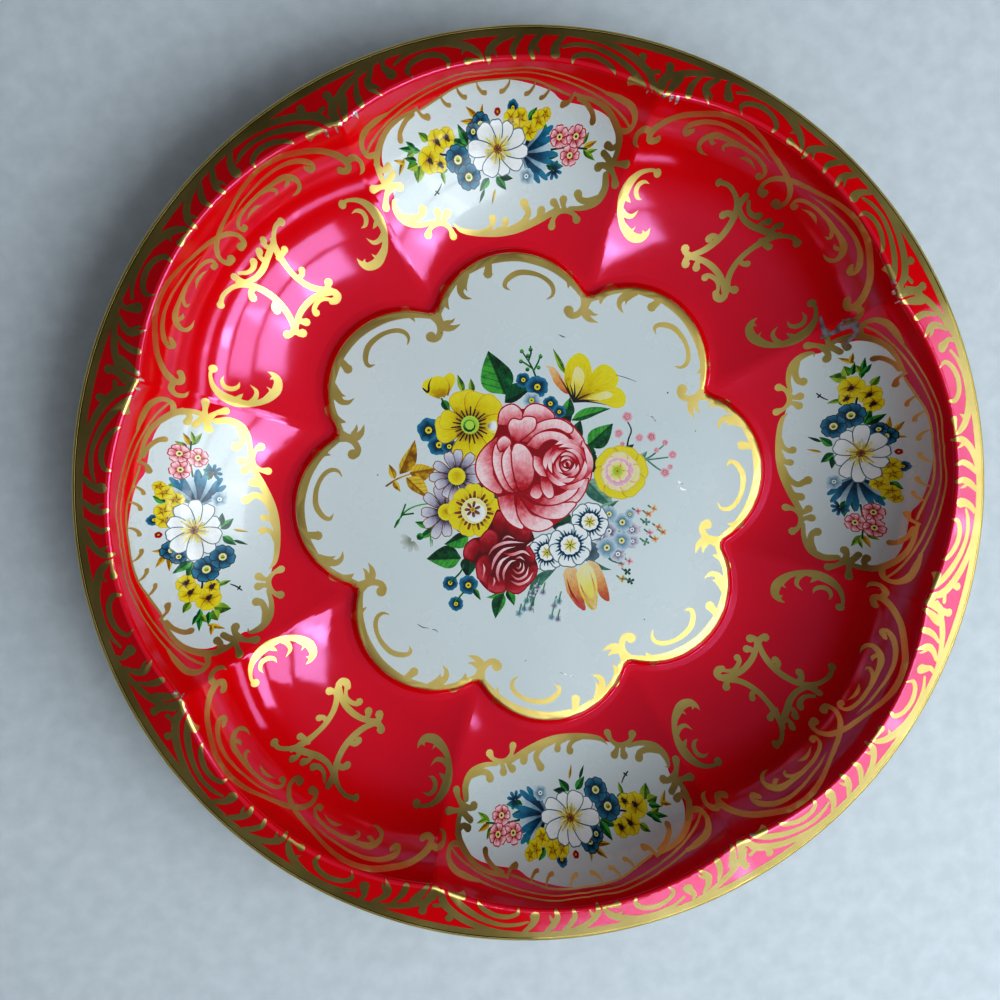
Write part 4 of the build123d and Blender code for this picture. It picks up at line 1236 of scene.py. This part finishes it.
# %% Small posy
small_posy = [
    # leaves and thin stems
    leaf((90.6, 4.2), (86.8, 6.2), 0.9, "dark_leaf"), leaf((90.4, 1.0), (86.2, 2.4), 0.8, "ochre_leaf"),
    leaf((93.4, 2.6), (90.0, 5.8), 2.2, "leaf_green"), leaf((93.6, 0.4), (89.8, -2.2), 2.4, "leaf_green"),
    leaf((93.4, -0.6), (92.6, -4.4), 1.8, "dark_leaf"),
    leaf((97.4, 22.6), (93.0, 23.8), 3.0, "lime_leaf"), leaf((97.8, 23.2), (96.6, 26.4), 2.8, "lime_leaf"),
    leaf((98.6, 23.4), (99.0, 27.0), 1.6, "leaf_green"),
    leaf((100.8, 22.0), (101.2, 28.2), 1.7, "leaf_green"),
    leaf((100.6, 23.8), (99.4, 26.2), 1.5, "lime_leaf"),
    leaf((101.0, 23.4), (102.8, 26.0), 1.5, "leaf_green"),
    leaf((99.2, 26.8), (94.8, 29.0), 1.2, "ochre_leaf"), leaf((98.0, 27.0), (98.4, 30.0), 1.2, "ochre_leaf"),
    leaf((103.0, 19.6), (104.8, 22.2), 2.0, "lime_leaf"), leaf((96.0, 16.4), (92.4, 15.8), 1.3, "lime_leaf"),
    leaf((96.2, 14.6), (95.6, 18.0), 1.2, "leaf_green"),
    leaf((101.6, 8.4), (103.4, 13.2), 2.2, "leaf_green"),
    leaf((101.8, 8.2), (106.6, 10.8), 2.4, "leaf_green"),
    leaf((106.6, 4.6), (107.2, 10.0), 1.5, "ochre_leaf"), leaf((107.4, 4.8), (110.0, 8.2), 1.4, "ochre_leaf"),
    leaf((106.8, 4.4), (110.4, 3.4), 1.3, "ochre_leaf"),
    leaf((104.4, -12.0), (102.2, -15.6), 3.2, "leaf_green"),
    leaf((106.0, -9.6), (108.4, -12.0), 2.0, "leaf_green"),
    leaf((97.6, -14.6), (96.8, -18.0), 2.2, "leaf_green"),
    leaf((94.8, -14.2), (94.0, -19.4), 2.4, "leaf_green"),
    leaf((97.2, -25.0), (94.0, -28.2), 1.6, "lime_leaf"),
    leaf((97.6, -25.0), (98.6, -28.8), 1.5, "ochre_leaf"),
    leaf((98.4, -24.6), (101.0, -26.6), 1.4, "lime_leaf"),
    leaf((96.4, -25.6), (96.6, -29.0), 1.1, "lime_leaf"),
    stroke([(98.6, -16.0, 0.5), (98.4, -21.0, 0.5), (97.2, -26.0, 0.4)], "dark_leaf"),
    stroke([(100.6, 18.4, 0.5), (99.8, 15.0, 0.5), (100.4, 12.0, 0.4)], "dark_line"),
    # the loose sprig
    stroke([(89.8, 19.2, 0.35), (91.2, 17.8, 0.4), (92.8, 16.8, 0.25)], "dark_line"),
    stroke([(90.2, 18.0, 0.5), (90.9, 18.8, 0.3)], "dark_line", 2),
]
# yellow flowers at the top
for x, y, size, turn in ((98.6, 19.6, 3.2, 10), (102.9, 17.0, 2.6, 50), (103.8, 14.2, 2.2, 0),
                         (97.6, 16.6, 1.9, 30)):
    small_posy += edged(rosette(x, y, 5, 0.2, size, size, "yellow", turn, 0.15, 0.2, 5), 0.22, "ochre")
    small_posy += [stroke([(x - 0.7, y - 0.6, 0.7), (x + 0.1, y + 1.0, 0.4)], "bark", 2),
                   ball(x, y, 0.7, "dark_line", 7)]
# blue auriculas
for x, y, size, turn in ((106.2, 4.2, 2.6, 0), (104.8, 6.4, 2.0, 20), (98.5, 11.4, 3.6, 10),
                         (94.0, 8.6, 3.4, 40)):
    small_posy += edged(rosette(x, y, 6, 0.3, size, size * 0.82, "blue", turn, 0.12, 0.2, 6), 0.25,
                        "dark_line")
    small_posy += [ball(x, y, size * 0.33, "pale_yellow", 9), ball(x, y, size * 0.17, "lime_leaf", 7)]
# the cornflower
for index in range(11):
    angle = 196 + index * 13
    small_posy.append(petal(98.8, -7.6, angle, 1.0, 8.6 + (index % 3) * 0.9, 1.7,
                            "blue" if index % 3 else "pale_blue"))
for index in range(7):
    small_posy.append(petal(93.4, -16.4, 120 + index * 42, 0.2, 2.6, 1.0, "blue"))
small_posy += little_flower(92.8, -8.4, 2.2, "pale_blue", "white_petal", turn=20, seed=7)
small_posy += little_flower(109.0, -5.2, 1.6, "blue", turn=20, seed=8)
small_posy += little_flower(108.6, -0.8, 0.9, "crimson", turn=0, seed=9)
# yellow blossoms beside it
for x, y, size, turn in ((106.6, -4.6, 2.2, 0), (104.6, -7.6, 2.4, 30), (106.9, -7.4, 1.9, 60),
                         (103.6, -10.0, 2.0, 15), (105.8, -12.6, 2.0, 40), (106.6, -14.4, 1.4, 0)):
    small_posy += edged(rosette(x, y, 5, 0.2, size, size, "yellow", turn, 0.2, 0.2, 10), 0.25, "ochre")
    small_posy.append(ball(x, y, 0.4, "ochre", 6))
# three small red flowers
for x, y, turn in ((101.2, -18.4, 0), (96.4, -21.2, 20), (100.6, -23.0, 40)):
    small_posy += edged(rosette(x, y, 6, 0.3, 2.6, 1.8, "rose_pink", turn, 0.15, 0.2, 11), 0.3, "crimson")
    small_posy += rosette(x, y, 8, 1.3, 2.5, 0.5, "pale_pink", turn + 22, 0.1, 0, 12)
    small_posy += [ball(x, y, 0.85, "pale_yellow", 8), ball(x, y, 0.35, "dark_line", 6)]
# the big white flower
small_posy += [ball(100.2, -0.4, 5.2, "slate", 14)]
for angle, far, width in ((196, 6.9, 3.6), (234, 8.4, 3.8), (262, 9.0, 3.4), (292, 8.6, 3.9),
                          (326, 7.2, 3.4), (2, 7.0, 3.6), (40, 7.6, 4.4), (118, 8.0, 3.6),
                          (84, 8.8, 4.0), (152, 7.2, 4.6)):
    small_posy += edged([petal(100.2, -0.4, angle, 0.6, far, width, "white_petal", 0.3)], 0.27, "slate")
for index in range(22):
    angle = index * 360 / 22
    small_posy.append(stroke([(*polar(0.4, angle, 100.4, -0.4), 0.35),
                              (*polar(2.8 + index % 4 * 0.45, angle, 100.4, -0.4), 0.4)],
                             ("yellow", "ochre", "pale_yellow")[index % 3], 2))
small_posy += rosette(100.4, -0.4, 7, 0.1, 1.3, 0.5, "bark", 30, 0.3, 0, 15)
print(len(small_posy), "patches in a small posy")

# %% [markdown]
# ## Wear
# The dish has been used: hair scratches on the white panel, chips down to the tin where the
# crest is sharpest, and one dull scuff above the medallion on the right.

# %% Scratches, chips and a scuff
panel_wear = [
    stroke([(37.6, 18.9, 0.2), (39.0, 17.9, 0.45), (40.0, 16.4, 0.2)], "bare_tin"),
    stroke([(36.4, 19.2, 0.15), (37.2, 18.6, 0.3), (37.6, 17.9, 0.1)], "bare_tin"),
    stroke([(29.2, 31.8, 0.1), (32.2, 30.6, 0.22), (35.4, 29.0, 0.1)], "slate"),
    stroke([(44.4, -2.8, 0.3), (45.6, -3.2, 1.0), (46.4, -3.8, 0.3)], "bare_tin"),
    stroke([(45.0, -4.4, 0.3), (46.2, -5.4, 0.5), (47.2, -5.6, 0.2)], "bare_tin"),
    stroke([(13.2, 45.8, 0.1), (14.4, 45.0, 0.35), (15.2, 44.8, 0.1)], "slate"),
    stroke([(-39.6, -36.4, 0.1), (-38.2, -37.6, 0.3), (-36.2, -38.2, 0.1)], "slate"),
    stroke([(-35.4, -38.6, 0.1), (-34.4, -39.0, 0.25), (-33.6, -39.8, 0.1)], "slate"),
    stroke([(2.0, -57.0, 0.1), (4.0, -58.0, 0.4), (6.2, -59.0, 0.1)], "bare_tin"),
    ball(44.6, 24.6, 0.3, "slate", 6), ball(-46.0, 10.0, 0.25, "slate", 6),
    ball(-22.0, 50.0, 0.22, "slate", 6),
    ball(30.0, -44.0, 0.25, "slate", 6), ball(-8.0, -52.0, 0.2, "slate", 6),
    ball(52.0, 12.0, 0.2, "slate", 6),
]
chance = random.Random(12)
rim_wear = []
for degrees, count in ((112.5, 7), (22.5, 5), (157.5, 4), (67.5, 6), (-67.5, 3), (202.5, 3)):
    for _ in range(count):
        turn = degrees + chance.uniform(-2.6, 2.6)
        radius = 111.3 + abs(turn - degrees) * 0.42 + chance.uniform(-0.5, 0.4)
        size = chance.uniform(0.25, 0.7)
        x, y = polar(radius, turn)
        outline = [polar(size * chance.uniform(0.5, 1.2), step * 60 + chance.uniform(-18, 18), x, y)
                   for step in range(6)]
        rim_wear.append(Patch(outline, "bare_tin"))
scuff = [
    stroke([(90.2, 41.6, 0.6), (90.6, 38.6, 1.1), (91.8, 36.2, 1.3), (94.4, 37.0, 1.4), (97.0, 37.6, 1.5),
            (98.4, 35.6, 1.1), (96.8, 33.2, 1.0), (96.0, 31.8, 0.5)], "scuffed_print"),
    stroke([(91.4, 37.2, 1.0), (90.4, 35.6, 0.7), (91.6, 35.2, 0.4)], "scuffed_print"),
    stroke([(94.0, 37.8, 1.0), (95.6, 39.4, 0.8), (97.6, 38.8, 0.9), (98.2, 37.2, 1.0)], "scuffed_print"),
]
print(len(panel_wear) + len(rim_wear) + len(scuff), "marks of wear")

# %% [markdown]
# ## The medallions
# The lobes on the axes each have a white medallion in a gold frame of leafy scrolls, with
# four-ball knots where the scrolls meet. It is drawn on the lobe that points along +X.

# %% Medallion ground and frame
medallion_edge = [
    (78.6, 0), (79.0, 6), (79.9, 11.5), (81.6, 16.5), (82.4, 20.5), (82.6, 25), (84.6, 29),
    (88.0, 31.0), (90.6, 31.2), (93.0, 33.6), (96.0, 33.0), (99.0, 33.2), (102.2, 32.0), (105.3, 29.5),
    (107.3, 26.2), (109.0, 22.0), (109.2, 20.4), (111.3, 15.6), (113.2, 10.4), (114.0, 4.5),
    (114.0, -1.8), (113.6, -5.8), (112.4, -11.0), (110.8, -15.6), (109.0, -18.2), (108.0, -20.6),
    (106.4, -25.4), (103.8, -30.4), (100.2, -33.4), (94.6, -33.6),
    (91.2, -31.6), (87.4, -30.4), (84.2, -28.4), (82.6, -24.6), (82.4, -20.4),
    (81.4, -16.2), (79.9, -11.5), (79.0, -6)]
medallion_ground = Patch(smooth(medallion_edge + medallion_edge[:1], 3)[:-1], "white_enamel")
medallion_frame = [
    # towards the middle of the dish: one long C with buds, between the two knots
    stroke([(82.0, 14.6, 0), (80.0, 12.6, 1.3), (78.9, 9.0, 1.7), (78.3, 4.5, 2.0), (78.2, 0, 2.3),
            (78.7, -4.5, 2.3), (79.8, -9.0, 2.0), (81.2, -13.0, 1.9), (82.6, -16.4, 1.6)]),
    stroke([(78.8, 6.4, 1.6), (79.6, 4.0, 1.4), (81.0, 2.6, 1.5), (82.4, 2.6, 2.3)]),
    stroke([(78.6, 1.6, 1.8), (79.6, -0.6, 1.6), (81.4, -1.2, 2.1)]),
    stroke([(78.9, -2.4, 1.8), (80.2, -6.0, 1.8), (82.6, -8.2, 1.8), (84.8, -7.6, 2.0), (85.8, -7.2, 2.6)]),
    stroke([(79.8, -8.0, 1.8), (81.0, -11.0, 1.7), (83.2, -12.2, 2.5)]),
    # the knots, each with four balls
    *[part for side in (1, -1) for part in (
        stroke([(79.2, side * 22.4, 2.4), (80.9, side * 21.6, 1.3), (82.2, side * 19.4, 1.6),
                (82.0, side * 17.2, 1.5), (80.4, side * 15.6, 1.3), (78.3, side * 14.9, 2.3)]),
        stroke([(82.0, side * 19.6, 1.2), (83.6, side * 18.8, 1.4), (85.3, side * 18.9, 2.4)]),
        stroke([(82.0, side * 17.4, 1.2), (83.4, side * 17.0, 1.4), (84.9, side * 16.0, 2.4)]))],
    # the corners: a C with a ball inside
    stroke([(82.6, 20.6, 1.2), (82.0, 24.6, 1.5), (83.0, 28.4, 2.0), (85.6, 30.8, 1.9), (88.6, 31.4, 0.8),
            (88.9, 30.0, 0)]),
    stroke([(84.4, 29.4, 1.8), (83.9, 26.4, 1.9), (84.6, 23.9, 1.8), (86.2, 23.2, 2.5)]),
    stroke([(82.6, -20.6, 1.2), (82.2, -24.8, 1.5), (83.4, -28.6, 2.1), (86.4, -30.9, 2.0),
            (90.0, -31.2, 1.6)]),
    stroke([(84.2, -29.0, 1.8), (83.8, -26.0, 1.9), (84.6, -23.8, 1.8), (86.2, -23.2, 2.5)]),
    # the end knots
    *[part for side in (1, -1) for part in (
        stroke([(86.8, side * 33.8, 2.2), (89.4, side * 33.4, 1.3), (91.2, side * 32.4, 1.8),
                (92.4, side * 30.6, 1.6), (92.2, side * 29.2, 2.5)]),
        stroke([(91.4, side * 36.8, 2.2), (92.0, side * 34.6, 1.3), (92.6, side * 32.8, 1.8),
                (94.2, side * 31.6, 1.7), (95.4, side * 30.6, 1.7)]),
        # the leafy line from the knot round the corner
        stroke([(92.4, side * 33.2, 1.4), (95.2, side * 34.4, 1.5), (98.4, side * 34.6, 1.7),
                (101.6, side * 33.2, 1.5), (104.6, side * 30.8, 1.1), (107.0, side * 27.2, 0.8),
                (109.0, side * 22.4, 0.6)]),
        stroke([(99.4, side * 34.6, 1.4), (99.0, side * 37.0, 1.3), (100.6, side * 38.2, 1.3),
                (103.0, side * 37.2, 1.2), (105.6, side * 33.8, 0.8), (107.4, side * 30.2, 0.5)]),
        stroke([(97.2, side * 35.0, 1.4), (96.0, side * 33.2, 1.4), (97.0, side * 31.6, 2.0)]),
        # curls inside it
        stroke([(108.2, side * 23.0, 0.7), (106.8, side * 25.4, 1.0), (104.6, side * 27.2, 1.2),
                (103.0, side * 27.4, 1.7)]),
        stroke([(109.2, side * 22.0, 0.8), (108.0, side * 20.6, 0.9), (107.9, side * 19.0, 1.5)]))],
    # towards the rim: a thin scalloped line with small curls
    *[stroke([(109.2, side * 20.8, 0.45), (111.4, side * 15.6, 0.4), (113.2, side * 10.4, 0.32),
              (114.0, side * 4.6, 0.28), (114.1, side * -0.4, 0.28)], fine=6) for side in (1, -1)],
    *[stroke([(x - 0.2, y + side * 1.6, 0.3), (x - 0.9, y + side * 1.2, 0.6), (x - 1.7, y, 0.8),
              (x - 1.8, y - side * 0.9, 0.9)])
      for x, y, side in ((112.0, 13.6, 1), (113.4, 9.0, 1), (114.0, 3.4, 1), (114.0, -2.6, -1),
                         (113.0, -9.6, -1), (111.8, -13.8, -1))],
    # and two thin lines outside it that run out into the corner leaves
    *[stroke([(98.8, side * 37.6, 0.5), (101.8, side * 35.4, 0.5), (105.0, side * 31.8, 0.4),
              (108.0, side * 27.2, 0.4),
              (110.8, side * 21.4, 0.26), (113.0, side * 15.0, 0.22), (114.4, side * 8.4, 0.18),
              (114.8, side * 1.0, 0.18),
              (114.8, side * -0.6, 0.18)], fine=6) for side in (1, -1)],
    *[stroke([(103.6, side * 36.2, 0.4), (106.8, side * 31.2, 0.35), (110.0, side * 25.2, 0.25),
              (112.8, side * 18.0, 0.2),
              (114.8, side * 9.4, 0.16), (115.3, side * 0.0, 0.15)], fine=6) for side in (1, -1)],
]
print(len(medallion_frame), "strokes in a medallion's frame")
# %% [markdown]
# ## The curled edge
# The gold lacquer runs on from the rim, over the curl and under it. It could be left to the
# pressed sheet's own facets, but the outline of the dish is where the eye looks for a true
# circle. So this coat is a ring of its own: a thin strip bent to the curl's arc, spun once
# round the dish.

# %% Lacquer on the curl
curl_middle, curl_radius = (rim_reach - 1.771, 30.274), 1.77  # in section, in millimetres
curl_coat, curl_turn = 0.05, 72  # its thickness, and how far it goes from the level each way
curl_arc = [curl_turn - step * curl_turn / 10 for step in range(21)]
curl = bmesh.new()
section = [curl.verts.new(Vector((curl_middle[0] + size * math.cos(math.radians(angle)), 0,
                                  curl_middle[1] + size * math.sin(math.radians(angle)))) * MM)
           for size, angles in ((curl_radius, curl_arc), (curl_radius - curl_coat, curl_arc[::-1]))
           for angle in angles]
edges = [curl.edges.new(ends) for ends in zip(section, section[1:] + section[:1])]
bmesh.ops.spin(curl, geom=section + edges, axis=(0, 0, 1), angle=2 * math.pi, steps=540, use_merge=True)
bmesh.ops.recalc_face_normals(curl, faces=curl.faces[:])
for face in curl.faces:
    middle = face.calc_center_median() / MM
    depth = math.hypot(middle.xy.length - curl_middle[0], middle.z - curl_middle[1])
    face.smooth = depth > curl_radius - curl_coat / 4
curl_mesh = bpy.data.meshes.new("curl_lacquer")
curl.to_mesh(curl_mesh)
curl.free()
curl_mesh.materials.append(inks["gold_lacquer"])
curl_piece = bpy.data.objects.new("curl_lacquer", curl_mesh)
bpy.context.scene.collection.objects.link(curl_piece)
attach(curl_piece, "root")
print("curl_lacquer:", len(curl_mesh.polygons), "faces")

# %% [markdown]
# ## Printing the dish
# Each area of the dish gets a film of its own: the panel, the rim, the four red lobes and
# the four medallions. One lobe's drawing serves all four, turned about the dish's middle.


# %% The printed films
film("panel_print", panel_print + posy + panel_wear)
film("rim_scrollwork", rim_print + rim_wear)
for quarter in range(4):
    film(f"red_lobe_scrollwork_{quarter + 1}", turned(strap, quarter * 90))
    marks = scuff if quarter == 0 else []
    film(f"medallion_{quarter + 1}",
         turned([medallion_ground, *medallion_frame, *small_posy], quarter * 90) + marks)

# %% [markdown]
# ## The table and the light
# A plain pale table. The light comes from one side, low, through a soft window whose panes
# show as pale patches in the glossy enamel of the far wall; the rest of the room is dim.

# %% Floor
floor_half = 1.2
table = bmesh.new()
bmesh.ops.create_grid(table, x_segments=1, y_segments=1, size=floor_half)
floor_mesh = bpy.data.meshes.new("floor")
table.to_mesh(floor_mesh)
table.free()
floor = bpy.data.objects.new("floor", floor_mesh)
bpy.context.scene.collection.objects.link(floor)
material, principled, add, link = shader("painted_table")
grain = add("TexNoise", add("TexCoord").outputs["Object"], scale=160.0, detail=6.0).outputs[0]
link(ramp(add, grain, (0.35, (0.63, 0.668, 0.70)), (0.7, (0.70, 0.735, 0.77))),
     principled.inputs["Base Color"])
principled.inputs["Roughness"].default_value = 0.75
raised = add("Bump", strength=0.15, distance=0.0005)
link(grain, raised.inputs["Height"])
link(raised.outputs[0], principled.inputs["Normal"])
floor_mesh.materials.append(material)
floor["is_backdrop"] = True
print("a table", 2 * floor_half, "m across")

# %% Window and room
window_distance = 1.1
pane_width = 0.55  # at the level of the table; the higher rows are narrower
# rows of panes: elevation, height, strength and the azimuths of its panes
pane_rows = ((16.5, 0.10, 7.0, (-78, -52, -26, 0)),
             (31, 0.16, 12.5, (-28, -6)),
             (44, 0.25, 9.5, (-64, -40, -16)),
             (59, 0.25, 11.5, (-64, -40, -16)))
for elevation, tall, strength, azimuths in pane_rows:
    for azimuth in azimuths:
        pane = bpy.data.lights.new("window_pane", "AREA")
        pane.shape = "RECTANGLE"
        pane.size, pane.size_y = pane_width * math.cos(math.radians(elevation)), tall
        pane.energy = strength * pane.size * pane.size_y
        pane.color = (0.86, 0.95, 1.0)
        lamp = bpy.data.objects.new("window_pane", pane)
        bpy.context.scene.collection.objects.link(lamp)
        level = window_distance * math.cos(math.radians(elevation))
        place = Vector((*polar(level, azimuth), window_distance * math.sin(math.radians(elevation))))
        aim(lamp, place, Vector((0, 0, 0.02)), up=(0, 0, 1))
print("a window with", sum(len(azimuths) for *_, azimuths in pane_rows), "panes")

# %% The room: dark by the floor, paler towards the ceiling and towards the window
room = bpy.data.worlds.new("room")
room.use_nodes = True
room_tree = room.node_tree
direction = room_tree.nodes.new("ShaderNodeTexCoord").outputs["Generated"]
height = room_tree.nodes.new("ShaderNodeSeparateXYZ")
room_tree.links.new(direction, height.inputs[0])
glow = room_tree.nodes.new("ShaderNodeValToRGB")
room_tree.links.new(height.outputs[2], glow.inputs[0])
for element, (place, grey) in zip(glow.color_ramp.elements, ((0.4, 0.04), (0.75, 0.265))):
    element.position = place
    element.color = (grey * 0.93, grey * 0.98, grey * 1.03, 1)
background = room_tree.nodes["Background"]
room_tree.links.new(glow.outputs[0], background.inputs["Color"])
towards_window = room_tree.nodes.new("ShaderNodeVectorMath")
towards_window.operation = "DOT_PRODUCT"
towards_window.inputs[1].default_value = (0.5, -0.87, 0)
room_tree.links.new(direction, towards_window.inputs[0])
share = room_tree.nodes.new("ShaderNodeMapRange")
for name, value in (("From Min", -1), ("From Max", 1), ("To Min", 0.55), ("To Max", 1.5)):
    share.inputs[name].default_value = value
room_tree.links.new(towards_window.outputs["Value"], share.inputs["Value"])
room_tree.links.new(share.outputs[0], background.inputs["Strength"])
bpy.context.scene.world = room
bpy.context.scene.view_settings.view_transform = "Standard"
bpy.context.scene.view_settings.look = "High Contrast"
print("the room is", room.name + ", seen with the look", bpy.context.scene.view_settings.look)
